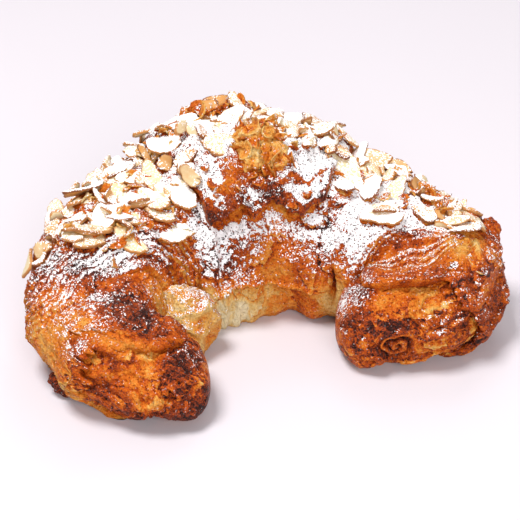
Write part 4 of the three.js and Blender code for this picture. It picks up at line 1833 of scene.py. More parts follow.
@dataclass(frozen=True)
class Flake:
    """Place and form of one thin piece: yaw is the compass angle of its length, lean that of its tilt."""

    share: float
    angle: float
    length: float
    width: float
    yaw: float
    tilt: float
    lean: float
    tone: float = 0.3
    dust: float = 1.0


@dataclass(frozen=True)
class Slice:
    """Form of a thin slice, drawn anew for each kind: bent, twisted, chipped and nicked."""

    length: float
    width: float
    thickness: float
    taper: float
    sides: int
    seed: int
    bend: Range
    twist: float
    chip: Range
    nick: float
    rings: tuple[float, ...] = (0.45, 0.75, 0.92, 1.0)

    LOBES, LOBE_REACH, LOBE_START = 3.0, 1.6, (0, 6)
    CUT_REACH = 1.3
    NEAR_RIM, NEAR_SHARE, RIM_SHARE = 0.9, 0.92, 0.55
    BOWL_LEVEL = 0.25
    TWIST_RUN = 4.0
    RIM_POWER = 6

    def build(self, number: int) -> Piece:
        """Makes one kind.

        Args:
            number: Number of the kind.

        Returns:
            An object that isn't linked into the scene, in metres.
        """
        draw = np.random.default_rng(self.seed + number)
        bend = draw.uniform(*self.bend)
        twist = draw.uniform(-self.twist, self.twist)
        chip = draw.uniform(*self.chip)
        turn = np.linspace(0.0, 2.0 * math.pi, self.sides, endpoint=False)
        lobes = np.sin(self.LOBES * turn + draw.uniform(*self.LOBE_START))
        nick = 1.0 + self.LOBE_REACH * self.nick * lobes + self.nick * draw.normal(size=self.sides)
        cut = chip + self.CUT_REACH * self.nick * draw.normal(size=self.sides)
        outline_x = np.minimum(np.cos(turn) * nick, cut) * self.length / 2
        outline_y = np.sin(turn) * (1.0 - self.taper * np.cos(turn)) * nick * self.width / 2
        layers, rims = [], []
        for side, order in ((1.0, self.rings), (-1.0, self.rings[::-1])):
            for ring in order:
                x, y = outline_x * ring, outline_y * ring
                share = 1.0 if ring < self.NEAR_RIM else self.NEAR_SHARE if ring < 1.0 else self.RIM_SHARE
                bowl = bend * ((x / (self.length / 2)) ** 2 - self.BOWL_LEVEL)
                bowl = bowl + twist * x * y / self.TWIST_RUN
                layers.append(np.stack([x, y, side * (self.thickness / 2 * share) + bowl], axis=-1))
                rims.append(np.full(self.sides, ring**self.RIM_POWER))
        quads, fans = tube_faces(len(layers), self.sides, flipped=False)
        poles = [[0.0, 0.0, side * self.thickness / 2 - self.BOWL_LEVEL * bend] for side in (1.0, -1.0)]
        points = np.concatenate([np.array(layers).reshape(-1, 3), np.array(poles)]) * MM
        mesh = bpy.data.meshes.new(f"slice_{self.seed + number}")
        mesh.from_pydata(points.tolist(), [], quads.tolist() + fans.tolist())
        mesh.polygons.foreach_set("use_smooth", np.ones(len(mesh.polygons), bool))
        set_attribute(mesh, "rim", np.concatenate([*rims, [0.0, 0.0]]))
        return bpy.data.objects.new(mesh.name, mesh)


@dataclass(frozen=True)
class Topping:
    """Thin pieces that lie on the crust with their lower rims sunk in."""

    name: str
    form: Slice
    kinds: int
    sunk: float = 0.9
    upright: float = 0.5
    rise: float = 0.2

    def lie(self, roll: Roll, flake: Flake) -> Matrix:
        """Turn and place of one piece."""
        share, angle = np.array([flake.share]), np.array([flake.angle])
        rest = roll.crust_normal(share, angle)[0] * (1.0 - self.upright) + np.array([0.0, 0.0, self.upright])
        return self.pose(roll.crust_place(share, angle)[0], unit(rest), flake)

    def pose(self, place: Array, rest: Array, flake: Flake) -> Matrix:
        """Turn and place of one piece on a surface.

        Args:
            place: Point of the surface.
            rest: Direction away from it.
            flake: Form and tilt of the piece.

        Returns:
            The piece's matrix in metres.
        """
        tilt = math.radians(flake.tilt)
        normal = unit(rest * math.cos(tilt) + compass(flake.lean) * math.sin(tilt))
        along = compass(flake.yaw)
        along = unit(along - normal * float(along @ normal))
        across = np.cross(normal, along)
        raised = self.rise * (flake.length + flake.width) * math.sin(tilt) - self.sunk
        raised = raised + self.form.thickness / 2
        centre = place + rest * raised - np.array(OUTLINE_MIDDLE)
        turn = Matrix((along, across, normal)).transposed().to_4x4()
        return Matrix.Translation(Vector(centre * MM)) @ turn

    def build(self, places: Sequence[Matrix], flakes: Sequence[Flake], material: Material) -> Piece:
        """Makes all the pieces as one.

        Args:
            places: Turn and place of each.
            flakes: Form of each.
            material: Their finish.

        Returns:
            The piece.
        """
        shelf = bpy.data.collections.new(f"{self.name}_kinds")
        for number in range(self.kinds):
            shelf.objects.link(self.form.build(number))
        mesh = bpy.data.meshes.new(f"{self.name}_places")
        mesh.from_pydata([tuple(place.translation) for place in places], [], [])
        turns = [tuple(place.to_euler()) for place in places]
        sizes = [(flake.length / self.form.length, flake.width / self.form.width, 1.0) for flake in flakes]
        for name, rows in (("turn", turns), ("stretch", sizes)):
            mesh.attributes.new(name, "FLOAT_VECTOR", "POINT").data.foreach_set("vector", np.ravel(rows))
        kinds = mesh.attributes.new("kind", "INT", "POINT")
        kinds.data.foreach_set("value", [number % self.kinds for number in range(len(flakes))])
        set_attribute(mesh, "tone", np.array([flake.tone for flake in flakes]))
        set_attribute(mesh, "hold", np.array([flake.dust for flake in flakes]))
        return self.lay_out(new_object(mesh.name, mesh), shelf, material)

    def scatter(self, roll: Roll, flakes: Sequence[Flake], material: Material) -> Piece:
        """Makes all the pieces as one, each lying on the roll."""
        return self.build([self.lie(roll, flake) for flake in flakes], flakes, material)

    def lay_out(self, carrier: Piece, shelf: bpy.types.Collection, material: Material) -> Piece:
        """Lays a kind of thing at each point of a carrier, turned and stretched by the point's attributes.

        Args:
            carrier: Points with the attributes turn, stretch and kind.
            shelf: The kinds of thing.
            material: Finish of the things.

        Returns:
            The piece.
        """
        tree = NodeTree(f"lay_out_{self.name}")
        kinds = tree.size("Kinds", "NodeSocketCollection", shelf)
        finish = tree.size("Finish", "NodeSocketMaterial", material)
        picked = {"Collection": kinds, "Separate Children": True, "Reset Children": True}
        turn = tree.node("FunctionNodeEulerToRotation", {}, {0: tree.attribute("turn", "FLOAT_VECTOR")})
        tree.finish(
            {
                "Points": tree.entry.outputs["Geometry"],
                "Instance": tree.node("GeometryNodeCollectionInfo", {}, picked).outputs[0],
                "Pick Instance": True,
                "Instance Index": tree.attribute("kind", "INT"),
                "Rotation": turn.outputs[0],
                "Scale": tree.attribute("stretch", "FLOAT_VECTOR"),
            },
            finish,
        )
        return tree.run(carrier, self.name)


@dataclass(frozen=True)
class Cut:
    """Smallest and largest length, width and tilt of spread flakes."""

    lengths: Range
    widths: Range
    tilts: Range


@dataclass
class Almonds:
    """Flaked almonds: large ones in plain sight, and others spread over the top by a rule."""

    topping: Topping = Topping(
        "flaked_almonds", Slice(16.0, 9.0, 1.25, 0.22, 26, 400, (-0.8, 1.8), 0.2, (0.4, 1.0), 0.05), 12
    )
    large: tuple[Flake, ...] = (
        Flake(0.334, 106, 19, 10, 8, 8, 120, 0.35, 0.9),
        Flake(0.34, 124, 14, 9, -5, 10, 90, 0.5, 0.5),
        Flake(0.342, 138, 16, 9, 20, 6, -90, 0.4, 0.9),
        Flake(0.246, 85, 19, 9, 6, 16, 90, 0.65, 0.3),
        Flake(0.229, 86, 13, 7, 14, 10, 60, 0.65, 0.4),
        Flake(0.238, 114, 14, 7, -38, 6, -60, 0.1, 0.3),
        Flake(0.27, 100, 15, 6, -45, 28, 40, 0.75, 0.3),
        Flake(0.345, 74, 18, 11, 50, 10, -90, 0.2, 0.9),
        Flake(0.493, 95, 16, 9, 5, 8, -90, 0.2, 1.0),
        Flake(0.49, 113, 16, 9, -15, 16, -90, 0.55, 0.35),
        Flake(0.475, 74, 15, 8, 25, 34, -110, 0.95, 0.1),
        Flake(0.505, 68, 14, 8, -10, 40, -70, 0.95, 0.1),
        Flake(0.678, 97, 18, 9, -50, 22, -100, 0.2, 0.5),
        Flake(0.71, 66, 16, 8, -45, 42, -140, 0.6, 0.3),
        Flake(0.735, 60, 15, 7, -50, 38, -120, 0.7, 0.2),
        Flake(0.765, 116, 17, 10, 8, 5, -90, 0.3, 1.0),
        Flake(0.813, 72, 9, 7, -25, 10, -80, 0.8, 0.05),
        Flake(0.805, 52, 19, 8, -38, 16, 45, 0.5, 0.3),
        Flake(0.822, 54, 14, 8, -40, 14, 20, 0.5, 0.3),
        Flake(0.255, 18, 13, 8, 90, 55, 180, 0.12, 0.1),
    )
    whole_count: int = 54
    whole: Cut = Cut((9.0, 16.0), (5.5, 9.0), (4.0, 32.0))
    sliver_count: int = 150
    sliver_first: int = 200
    sliver: Cut = Cut((5.0, 11.0), (2.4, 5.5), (10.0, 62.0))
    first: float = 0.236
    last: float = 0.835
    back: float = 38.0
    front: float = 122.0
    flap_front: float = 100.0
    end_front: float = 88.0
    end_run: float = 0.06
    flap_run: float = 0.04
    begin: float = 0.5
    steps: Range = (0.7548776662466927, 0.5698402909980532)
    draw_steps: Range = (12.9898, 78.233)
    draw_scale: float = 43758.5453
    tone: Range = (0.15, 0.8)
    dust: Range = (0.3, 0.9)
    dust_power: float = 1.2
    sugar: SugarFall = SugarFall(1.0, 0.3, 0.5, 0.5, 8.0)
    bare: Range = (0.66, 82.0)

    def draw(self, index: int, quality: int) -> float:
        """Repeatable draw from 0 to 1."""
        first, second = self.draw_steps
        return math.modf(math.sin(index * first + quality * second) * self.draw_scale)[0] % 1.0

    def spread_front(self, roll: Roll, share: float) -> float:
        """How far forward the spread flakes reach: less on the flap and towards the horns."""
        flap = roll.flap
        on_flap = ramp((share - flap.start) / self.flap_run) * ramp((flap.finish - share) / self.flap_run)
        near_end = 1.0 - ramp(min(share - self.first, self.last - share) / self.end_run)
        return mix(mix(self.front, self.flap_front, on_flap), self.end_front, near_end)

    def spread(self, roll: Roll, index: int, cut: Cut) -> Flake:
        """One of the spread flakes.

        Args:
            roll: The whole roll.
            index: Number of the flake.
            cut: Bounds of its length, width and tilt.

        Returns:
            The flake.
        """
        along, around = ((self.begin + index * step) % 1.0 for step in self.steps)
        share = mix(self.first, self.last, along)
        angle = mix(self.back, self.spread_front(roll, share), around)
        length, width, yaw, tilt, lean, tone, dust = (self.draw(index, quality) for quality in range(1, 8))
        return Flake(
            share,
            float(angle),
            mix(*cut.lengths, length),
            mix(*cut.widths, width),
            FULL_TURN * yaw,
            mix(*cut.tilts, tilt),
            FULL_TURN * lean,
            self.tone[0] + self.tone[1] * tone,
            self.dust[0] + self.dust[1] * dust**self.dust_power,
        )

    def flakes(self, roll: Roll) -> list[Flake]:
        """All the flakes, largest first.

        Args:
            roll: The whole roll.

        Returns:
            The placed ones, the spread ones and the slivers.
        """
        spread = [self.spread(roll, number, self.whole) for number in range(self.whole_count)]
        numbers = range(self.sliver_first, self.sliver_first + self.sliver_count)
        slivers = [self.spread(roll, number, self.sliver) for number in numbers]
        bare, bare_angle = self.bare
        slivers = [flake for flake in slivers if flake.share < bare or flake.angle < bare_angle]
        return [*self.large, *spread, *slivers]

    def build(self, roll: Roll, material: Material) -> Piece:
        """Makes all flakes as one piece."""
        return self.topping.scatter(roll, self.flakes(roll), material)


@dataclass(frozen=True)
class Torn:
    """Bounds from which the form of torn pieces is drawn."""

    slim: Range
    tilts: Range
    tones: Range

    RIM_PALE = 0.2

    def draw(self, draw: np.random.Generator, length: float) -> tuple[float, ...]:
        """Draws the width, yaw, tilt, lean and tone of a piece."""
        turn = (0.0, FULL_TURN)
        slim, *others = (draw.uniform(*bounds) for bounds in (self.slim, turn, self.tilts, turn, self.tones))
        return (length * slim, *others)

    @classmethod
    def bake(cls, piece: Piece) -> Piece:
        """Writes the bake of torn pieces, paler along their rims."""
        tone, rim = (read_attribute(piece.data, name) for name in ("tone", "rim"))
        set_attribute(piece.data, "brown", np.clip(tone - cls.RIM_PALE * rim, 0.0, 1.0))
        return piece


@dataclass(frozen=True)
class Heap:
    """Where torn shards lie thickest."""

    share: float
    angle: float
    along: float
    around: float
    count: int
    tones: Range
    lengths: Range = (3.5, 8.0)
    tilts: Range = (10.0, 65.0)
    dust: float = 0.4


@dataclass
class Shards:
    """Torn shards of crisp crust among the almonds."""

    topping: Topping = Topping(
        "crust_shards",
        Slice(10.0, 6.0, 0.7, 0.1, 16, 700, (-1.5, 2.5), 0.3, (0.5, 0.9), 0.09, (0.5, 0.85, 1.0)),
        kinds=9,
        sunk=0.6,
    )
    heaps: tuple[Heap, ...] = (
        Heap(0.478, 73, 0.018, 6.0, 46, (0.4, 0.68), (3.0, 9.0), (20.0, 75.0), 0.2),
        Heap(0.515, 68, 0.016, 6.0, 14, (0.4, 0.65), (4.0, 9.0), (25.0, 75.0), 0.4),
        Heap(0.28, 92, 0.045, 16.0, 46, (0.3, 0.6)),
        Heap(0.37, 84, 0.04, 14.0, 26, (0.2, 0.55)),
        Heap(0.565, 102, 0.02, 9.0, 34, (0.35, 0.6), (3.0, 7.0), dust=0.2),
        Heap(0.54, 128, 0.07, 5.0, 26, (0.5, 0.75), (2.5, 5.5), dust=0.3),
        Heap(0.7, 84, 0.04, 16.0, 26, (0.3, 0.65)),
        Heap(0.79, 60, 0.04, 10.0, 40, (0.4, 0.7)),
    )
    slim: Range = (0.35, 0.75)
    dusts: Range = (0.2, 1.6)
    seed: int = 71
    sugar: SugarFall = SugarFall(1.0, 0.3, 0.5, 0.5, 6.0)

    def flakes(self) -> list[Flake]:
        """Draws the shards heap by heap.

        Returns:
            Place and form of each.
        """
        draw = np.random.default_rng(self.seed)
        drawn = []
        for heap in self.heaps:
            torn = Torn(self.slim, heap.tilts, heap.tones)
            for _ in range(heap.count):
                length = draw.uniform(*heap.lengths)
                place = (draw.normal(heap.share, heap.along), draw.normal(heap.angle, heap.around))
                form = torn.draw(draw, length)
                drawn.append(Flake(*place, length, *form, heap.dust * draw.uniform(*self.dusts)))
        return drawn

    def build(self, roll: Roll, material: Material) -> Piece:
        """Makes all shards as one piece, with paler rims."""
        return Torn.bake(self.topping.scatter(roll, self.flakes(), material))


@dataclass
class Curls:
    """Thin curled shavings of crust standing on the lumps of crumb."""

    topping: Topping = Topping(
        "crumb_curls",
        Slice(8.0, 6.0, 0.5, 0.1, 22, 900, (-1.0, 3.0), 0.8, (0.45, 0.95), 0.09, (0.4, 0.7, 0.9, 1.0)),
        kinds=12,
        sunk=0.8,
    )
    count: int = 44
    lengths: Range = (2.5, 7.0)
    torn: Torn = Torn((0.5, 0.9), (5.0, 60.0), (0.36, 0.7))
    lowest: float = -0.25
    seed: int = 83
    sugar: SugarFall = SugarFall(1.0, 0.3, 0.5, 0.5, 6.0)
    dust: float = 0.12

    def build(self, lumps: Sequence[Lump], material: Material) -> Piece:
        """Makes all shavings as one piece.

        Args:
            lumps: Lumps that they stand on.
            material: Their finish.

        Returns:
            The piece.
        """
        draw = np.random.default_rng(self.seed)
        places, flakes = [], []
        for lump in lumps:
            for _ in range(self.count):
                way = unit(draw.normal(size=3))
                way[2] = abs(way[2]) + self.lowest
                length = draw.uniform(*self.lengths)
                flakes.append(Flake(0.0, 0.0, length, *self.torn.draw(draw, length), self.dust))
                places.append(self.topping.pose(*lump.surface(unit(way)), flakes[-1]))
        return Torn.bake(self.topping.build(places, flakes, material))


@dataclass(frozen=True)
class IcingSugar:
    """Small clumps of icing sugar, thickest where the dusting is."""

    name: str = "icing_sugar"
    per_square_mm: float = 0.6
    smallest: float = 0.08
    largest: float = 0.26
    seed: int = 7

    def build(self, dusted: Sequence[Piece], material: Material) -> Piece:
        """Makes the clumps as one piece.

        Args:
            dusted: Pieces that the sugar lies on.
            material: Finish of the clumps.

        Returns:
            The piece.
        """
        carrier = self.surface(dusted)
        tree = NodeTree(f"scatter_{self.name}")
        density = tree.size("Density", "NodeSocketFloat", self.per_square_mm / MM**2)
        smallest = tree.size("Smallest", "NodeSocketFloat", self.smallest * MM)
        largest = tree.size("Largest", "NodeSocketFloat", self.largest * MM)
        seed = tree.size("Seed", "NodeSocketInt", self.seed)
        finish = tree.size("Finish", "NodeSocketMaterial", material)
        sugar = tree.attribute("sugar", "FLOAT")
        thick = tree.node("ShaderNodeMath", {"operation": "MULTIPLY"}, {0: density, 1: sugar})
        points = tree.node(
            "GeometryNodeDistributePointsOnFaces",
            {"distribute_method": "RANDOM"},
            {"Mesh": tree.entry.outputs["Geometry"], "Density": thick.outputs[0], "Seed": seed},
        )
        clump = tree.node("GeometryNodeMeshIcoSphere", {}, {"Radius": 1.0, "Subdivisions": 1})
        sizes = {2: smallest, 3: largest, "Seed": seed}
        size = tree.node("FunctionNodeRandomValue", {"data_type": "FLOAT"}, sizes)
        turns = {0: (0.0, 0.0, 0.0), 1: (math.tau, math.tau, math.tau), "Seed": seed}
        turn = tree.node("FunctionNodeRandomValue", {"data_type": "FLOAT_VECTOR"}, turns)
        turned = tree.node("FunctionNodeEulerToRotation", {}, {0: turn.outputs[0]})
        tree.finish(
            {
                "Points": points.outputs[0],
                "Instance": clump.outputs[0],
                "Rotation": turned.outputs[0],
                "Scale": size.outputs[1],
            },
            finish,
        )
        return tree.run(carrier, self.name)

    def surface(self, dusted: Sequence[Piece]) -> Piece:
        """Joins copies of the dusted pieces into one carrier.

        Args:
            dusted: Pieces that the sugar lies on.

        Returns:
            The carrier.
        """
        copies = [new_object("dusted", piece.data.copy()) for piece in dusted]
        with bpy.context.temp_override(
            active_object=copies[0], selected_objects=copies, selected_editable_objects=copies
        ):
            bpy.ops.object.join()
        return copies[0]


@dataclass(frozen=True)
class Studio:
    """Pale floor, soft light and the camera."""

    elevation: float = 32.0
    distance: float = 500.0
    target: Triple = (-2.27, 2.48, 24.0)
    lens: float = 102.1
    sensor: float = 36.0
    floor_size: float = 6.0
    world: Triple = (1.0, 0.98, 1.0)
    world_strength: float = 0.38
    lights: tuple[tuple[str, Triple, float, float], ...] = (
        ("key_light", (-0.3, -0.15, 1.0), 0.4, 10.2),
        ("fill_light", (0.25, -0.95, 0.5), 0.6, 7.2),
        ("back_light", (0.2, 0.8, 0.8), 0.6, 3.0),
    )

    def build(self) -> None:
        """Sets up floor, world, lights and camera."""
        self.lay_floor()
        scene = bpy.context.scene
        scene.view_settings.view_transform = "Standard"
        scene.world = bpy.data.worlds.new("studio")
        scene.world.use_nodes = True
        background = scene.world.node_tree.nodes["Background"].inputs
        background["Color"].default_value = (*self.world, 1.0)
        background["Strength"].default_value = self.world_strength
        for name, place, size, power in self.lights:
            lamp = bpy.data.lights.new(name, "AREA")
            lamp.shape = "DISK"
            lamp.size = size
            lamp.energy = power
            self.aim(new_object(name, lamp), Vector(place), -Vector(place))
        lens = bpy.data.cameras.new("camera")
        lens.lens = self.lens
        lens.sensor_width = self.sensor
        rise = math.radians(self.elevation)
        back = Vector((0.0, -math.cos(rise), math.sin(rise)))
        scene.camera = new_object("camera", lens)
        self.aim(scene.camera, Vector(self.target) * MM + back * self.distance * MM, -back)

    def lay_floor(self) -> None:
        """Makes the floor, which belongs to the stage."""
        half = self.floor_size / 2
        corners = [(-half, -half, 0), (half, -half, 0), (half, half, 0), (-half, half, 0)]
        finish = FloorFinish()
        mesh = bpy.data.meshes.new(finish.name)
        mesh.from_pydata(corners, [], [(0, 1, 2, 3)])
        mesh.materials.append(finish.material())
        floor = new_object(finish.name, mesh)

    def aim(self, thing: Piece, place: Vector, way: Vector) -> None:
        """Puts a light or the camera at a place, looking along a direction."""
        thing.location = place
        thing.rotation_euler = way.to_track_quat("-Z", "Y").to_euler()


HORN_CRUST = {"dents": 1.2, "bubbles": 0.8, "grain": 0.5, "crackle_tone": 0.15, "blotches": 1.5}

MIDDLE = Wrap(
    name="middle_wrap",
    start=Edge(0.29, 0.368, leaves=Leaves(1, 3.0, 0.3, 0.3, 1.0, swell=0.4), frill=-0.4),
    finish=Edge(0.745, 0.685, leaves=Leaves(1, 3.5, 0.5, 0.4, 1.3), frill=0.4),
    size=(1.0, 0.99, 0.02),
    brown=0.57,
    sugar=SugarFall(0.7, -0.05, 0.55, 0.35, 8.0),
    columns=290,
    rows=265,
    fine=(0.0, 1.0),
    shelf=Shelf(),
    patches=(
        Patch(0.44, 172, 20, 8, brown=0.68),
        Patch(0.44, 157, 26, 11, sugar=4.2),
        Patch(0.6, 147, 22, 8, sugar=2.6),
        Patch(0.605, 167, 14, 9, brown=0.57, sugar=0.5),
        Patch(0.458, 214, 30, 14, brown=0.15, sugar=0.3, lift=4.6),
        Patch(0.635, 215, 14, 14, lift=-2.5),
        Patch(0.39, 206, 12, 10, brown=0.14, lift=3.0),
        Patch(0.5, 213, 6, 6, brown=0.27),
        Patch(0.61, 205, 16, 12, brown=0.45, sugar=0.1),
        Patch(0.53, 214, 11, 9, brown=0.3, sugar=0.3),
        Patch(0.465, 220, 24, 1.7, brown=0.8, sugar=0.0),
        Patch(0.68, 200, 5, 10, brown=0.3, sugar=0.0),
        Patch(0.505, 137, 10, 6, brown=0.36, sugar=0.0),
        Patch(0.605, 131, 8, 6, brown=0.38, sugar=0.0),
    ),
    scaling=Scaling(26, 501, 90.0, (0.33, 0.71), (100.0, 225.0), (3.0, 7.0), (0.3, 0.9)),
)
LEFT_SHOULDER = Wrap(
    name="left_shoulder",
    start=Edge(
        0.155, 0.225, 40, 180, leaves=Leaves(10, 2.4, 0.2, 1.25, 1.1, swell=1.0, dust=3.2), frill=-0.4
    ),
    finish=Edge(0.42, 0.44, end=EdgeEnd.TUCKED),
    size=(1.06, 0.9, 0.04),
    brown=0.6,
    sugar=SugarFall(0.22, 0.05, 0.6, 0.6, 8.0),
    columns=270,
    rows=190,
    fine=(0.0, 0.7),
    patches=(
        Patch(0.191, 86, 5, 7, brown=0.76),
        Patch(0.222, 114, 12, 10, sugar=4.6),
        Patch(0.162, 28, 8, 10, brown=0.36, sugar=0.4),
    ),
    scaling=Scaling(10, 502, 180.0, (0.17, 0.3), rises=(0.4, 0.9)),
    floor=0.02,
)
LEFT_LEG = Wrap(
    name="left_leg",
    start=Edge(0.125, 0.042, 25, 90, leaves=Leaves(1, 3.0, 0.6, 0.9, 2.8, swell=2.2), frill=-1.3),
    finish=Edge(0.3, 0.34, end=EdgeEnd.TUCKED),
    size=(1.06, 0.74, 0.04),
    brown=0.5,
    sugar=SugarFall(0.1, 0.0, 0.7, 1.0, 7.0),
    columns=270,
    rows=190,
    fine=(0.0, 0.75),
    patches=(
        Patch(0.108, 109, 21, 19, brown=0.81, sugar=0.8),
        Patch(0.108, 80, 9, 7, brown=0.55),
        Patch(0.098, 54, 9, 4, brown=0.42, sugar=0.6),
        Patch(0.08, 61, 7, 4, brown=0.42, sugar=0.6),
        Patch(0.185, 111, 7, 8, brown=0.47),
        Patch(0.197, 142, 6, 7, brown=0.47),
        Patch(0.15, 158, 12, 10, brown=0.3, sugar=3.0),
        Patch(0.155, 20, 6, 9, brown=0.38, sugar=0.5),
        Patch(0.136, 50, 9, 9, brown=0.4, sugar=5.0),
        Patch(0.14, 96, 6, 9, sugar=2.0),
    ),
    scaling=Scaling(34, 503, 180.0, (0.05, 0.2), radii=(2.5, 7.0), rises=(0.3, 0.9)),
    floor=0.04,
)
LEFT_HORN = Wrap(
    name="left_horn",
    start=Edge(0.0, 0.0, end=EdgeEnd.TIP),
    finish=Edge(0.22, 0.2, end=EdgeEnd.TUCKED),
    size=(0.98, 0.85, 0.02),
    brown=0.54,
    sugar=SugarFall(0.05, 0.0, 0.7, 1.0, 6.0),
    columns=250,
    rows=150,
    fine=(0.0, 0.68),
    patches=(
        Patch(0.04, 44, 5, 5, brown=0.84, sugar=0.5),
        Patch(0.031, 76, 6, 5, brown=0.76, sugar=6.0),
        Patch(0.078, 17, 8, 6, brown=0.52),
        Patch(0.11, 27, 13, 10, brown=0.47),
        Patch(0.099, 8, 4, 4, brown=0.76),
        Patch(0.05, 344, 30, 5, brown=0.7),
        Patch(0.022, 346, 9, 4, brown=0.8),
        Patch(0.125, 105, 20, 17, lift=-4.5),
    ),
    scaling=Scaling(120, 504, 180.0, (0.0, 0.14), (-40.0, 200.0), (1.6, 6.0), (0.7, 2.0), 90.0, 0.14),
    scales=(Scale(0.066, 36, 8.0, 1.6, 200), Scale(0.02, 12, 6.0, 1.4, 230), Scale(0.085, 12, 8.0, 1.5, 215)),
    floor=0.06,
    **HORN_CRUST,
)
RIGHT_SHOULDER = Wrap(
    name="right_shoulder",
    start=Edge(0.62, 0.6, end=EdgeEnd.TUCKED),
    finish=Edge(0.852, 0.82, 120, 180, leaves=Leaves(2, 2.2, 0.35, 0.5, 1.2, swell=0.7), frill=0.4),
    size=(0.84, 1.03, 0.05),
    brown=0.56,
    sugar=SugarFall(1.25, 0.0, 0.65, 0.4, 8.0),
    columns=270,
    rows=190,
    fine=(0.28, 1.0),
    patches=(
        # golden strip, partly its own colour and partly painted light: paler to make up for the shade it lies
        # in
        Patch(0.708, 196, 8, 12, brown=0.2, sugar=0.0),
        # slit sunk 4 mm and coloured nearly black: painted shade inside the slit
        Patch(0.694, 184, 1.5, 6, brown=0.97, sugar=0.0, lift=-4.0),
        Patch(0.75, 168, 8, 6, brown=0.6),
    ),
    scaling=Scaling(14, 505, 0.0, (0.7, 0.86), rises=(0.3, 0.8)),
    floor=0.08,
)
RIGHT_DRAPE = Wrap(
    name="right_drape",
    start=Edge(0.78, 0.78, end=EdgeEnd.TUCKED),
    finish=Edge(0.875, 0.965, 50, 80, leaves=Leaves(0, swell=0.8, swell_run=2.0), frill=0.5),
    size=(0.98, 1.14, 0.02),
    brown=0.57,
    sugar=SugarFall(0.3, 0.1, 0.7, 0.5, 6.0),
    columns=250,
    rows=170,
    fine=(0.12, 1.0),
    patches=(
        Patch(0.848, 58, 6, 6, brown=0.36, sugar=0.1),
        Patch(0.905, 92, 10, 8, brown=0.48),
        Patch(0.855, 12, 16, 20, brown=0.62),
        Patch(0.868, 350, 14, 9, brown=0.72),
    ),
    scales=(Lens(0.906, 92, 16.5, 11.0, 31, 2.8, 2.0),),
    scaling=Scaling(90, 506, 0.0, (0.79, 0.885), (-40.0, 52.0), (1.6, 4.5), (0.6, 1.7), 100.0, 0.18),
    floor=0.1,
)
RIGHT_HORN = Wrap(
    name="right_horn",
    start=Edge(0.74, 0.885, end=EdgeEnd.TUCKED),
    finish=Edge(1.0, 1.0, end=EdgeEnd.TIP),
    size=(0.78, 1.02, 0.04),
    brown=0.61,
    sugar=SugarFall(0.1, 0.0, 0.7, 1.0, 6.0),
    columns=260,
    rows=180,
    fine=(0.38, 1.0),
    patches=(
        Patch(0.935, 50, 13, 6, brown=0.5, sugar=0.2),
        Patch(0.9, 40, 10, 5, brown=0.5, sugar=0.3),
        Patch(0.985, 74, 7, 9, brown=0.54, sugar=9.0),
        Patch(0.978, 39, 6, 5, brown=0.82, sugar=0.5),
        Patch(0.895, 26, 10, 5, sugar=5.0),
        Patch(0.968, 84, 5, 10, brown=0.82, sugar=0.3),
        Patch(0.93, 338, 30, 5, brown=0.68),
    ),
    scaling=Scaling(210, 507, 0.0, (0.84, 0.995), (-32.0, 36.0), (1.2, 3.6), (0.6, 1.7), 120.0, 0.18),
    scales=(
        Scale(0.925, 56, 3.5, 0.8, 270, 0.3),
        Scale(0.9, 48, 3.5, 0.8, 270, 0.3),
        Scale(0.945, 47, 3.5, 0.7, 270, 0.35),
        Scale(0.915, 40, 3.0, 0.8, 270, 0.3),
        RolledEnd(0.937, 2.0, 5.0, 1.9, 2.1),
    ),
    floor=0.12,
    **HORN_CRUST,
)
WRAPS = [MIDDLE, LEFT_SHOULDER, LEFT_LEG, LEFT_HORN, RIGHT_SHOULDER, RIGHT_DRAPE, RIGHT_HORN]

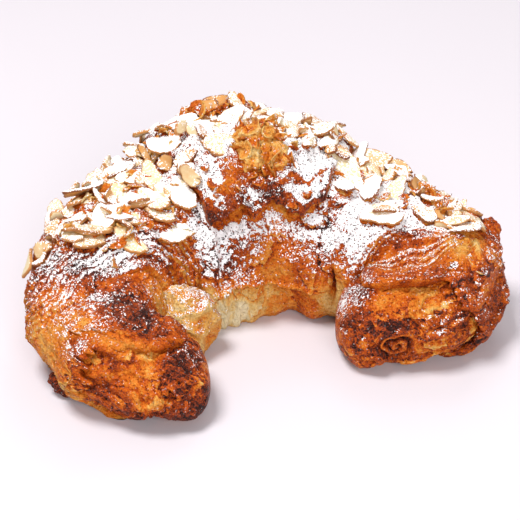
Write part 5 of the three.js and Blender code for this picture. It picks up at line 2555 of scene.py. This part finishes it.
LUMPS = (
    Lump(
        "pale_bump",
        (-28, -17, 11),
        (13, 10, 13.5),
        -20,
        (0.42, 0.26),
        SugarFall(0.5, 0.1, 0.7, 0.6, 6.0),
        Slot.CRUMB,
        crumple=0.9,
        crumple_size=7.0,
        ridge_tone=-0.08,
    ),
    *(
        Lump(name, at, half, turn, brown, SugarFall(level), Slot.CRUST, *crumple)
        for name, at, half, turn, brown, level, crumple in (
            ("baked_drip", (-62, -42, 4.5), (5.5, 4.5, 5), 20, (0.82, 0.8), 0.05, (0.5, 3.0)),
            ("side_bump", (78, 9, 29), (4, 4.5, 5), 0, (0.58, 0.56), 0.1, (0.5, 4.0)),
            # the last crumple value is a negative ridge_tone: darker crevices and paler ridges, painted shade
            # in the crevices
            ("crumb_high", (-1, 14, 60.5), (8.5, 6.5, 7), 15, (0.56, 0.46), 0.08, (0.8, 4.4, -0.2)),
            ("crumb_low", (-2.5, 8.5, 57.5), (6.5, 5.5, 6.5), -10, (0.5, 0.42), 0.1, (0.7, 4.2, -0.2)),
            ("crumb_side", (4.5, 9.5, 57.5), (5.5, 5.5, 5.5), 40, (0.54, 0.46), 0.1, (0.7, 4.2, -0.2)),
        )
    ),
)


def main() -> None:
    """Builds the croissant piece by piece and sets up the studio."""
    logging.basicConfig(level=logging.INFO, format="%(name)s: %(message)s")
    roll = Roll(WRAPS, Flap())
    crust = CrustFinish().material()
    almond = AlmondFinish().material()
    almonds, shards, curls = Almonds(), Shards(), Curls()
    crumbs = [lump for lump in LUMPS if lump.name.startswith(CRUMB_NAME)]
    falls = [(wrap.build(roll), wrap.sugar, Slot.CRUST, crust) for wrap in roll.wraps]
    falls.append((roll.flap.build(roll), roll.flap.sugar, Slot.CRUST, crust))
    falls += [(lump.build(), lump.sugar, lump.slot, crust) for lump in LUMPS]
    falls.append((almonds.build(roll, almond), almonds.sugar, Slot.ALMOND, almond))
    falls.append((shards.build(roll, crust), shards.sugar, Slot.CRUST, crust))
    falls.append((curls.build(crumbs, crust), curls.sugar, Slot.CRUST, crust))
    dusted = [piece for piece, *_ in falls]
    for piece, _, slot, finish in falls:
        register(piece, slot, finish)
    sky = Sky(dusted)
    for piece, fall, *_ in falls:
        fall.settle(piece, sky)
    sugar_finish = SugarFinish().material()
    register(IcingSugar().build(dusted, sugar_finish), Slot.SUGAR, sugar_finish)
    Studio().build()


if __name__ == "__main__":
    main()
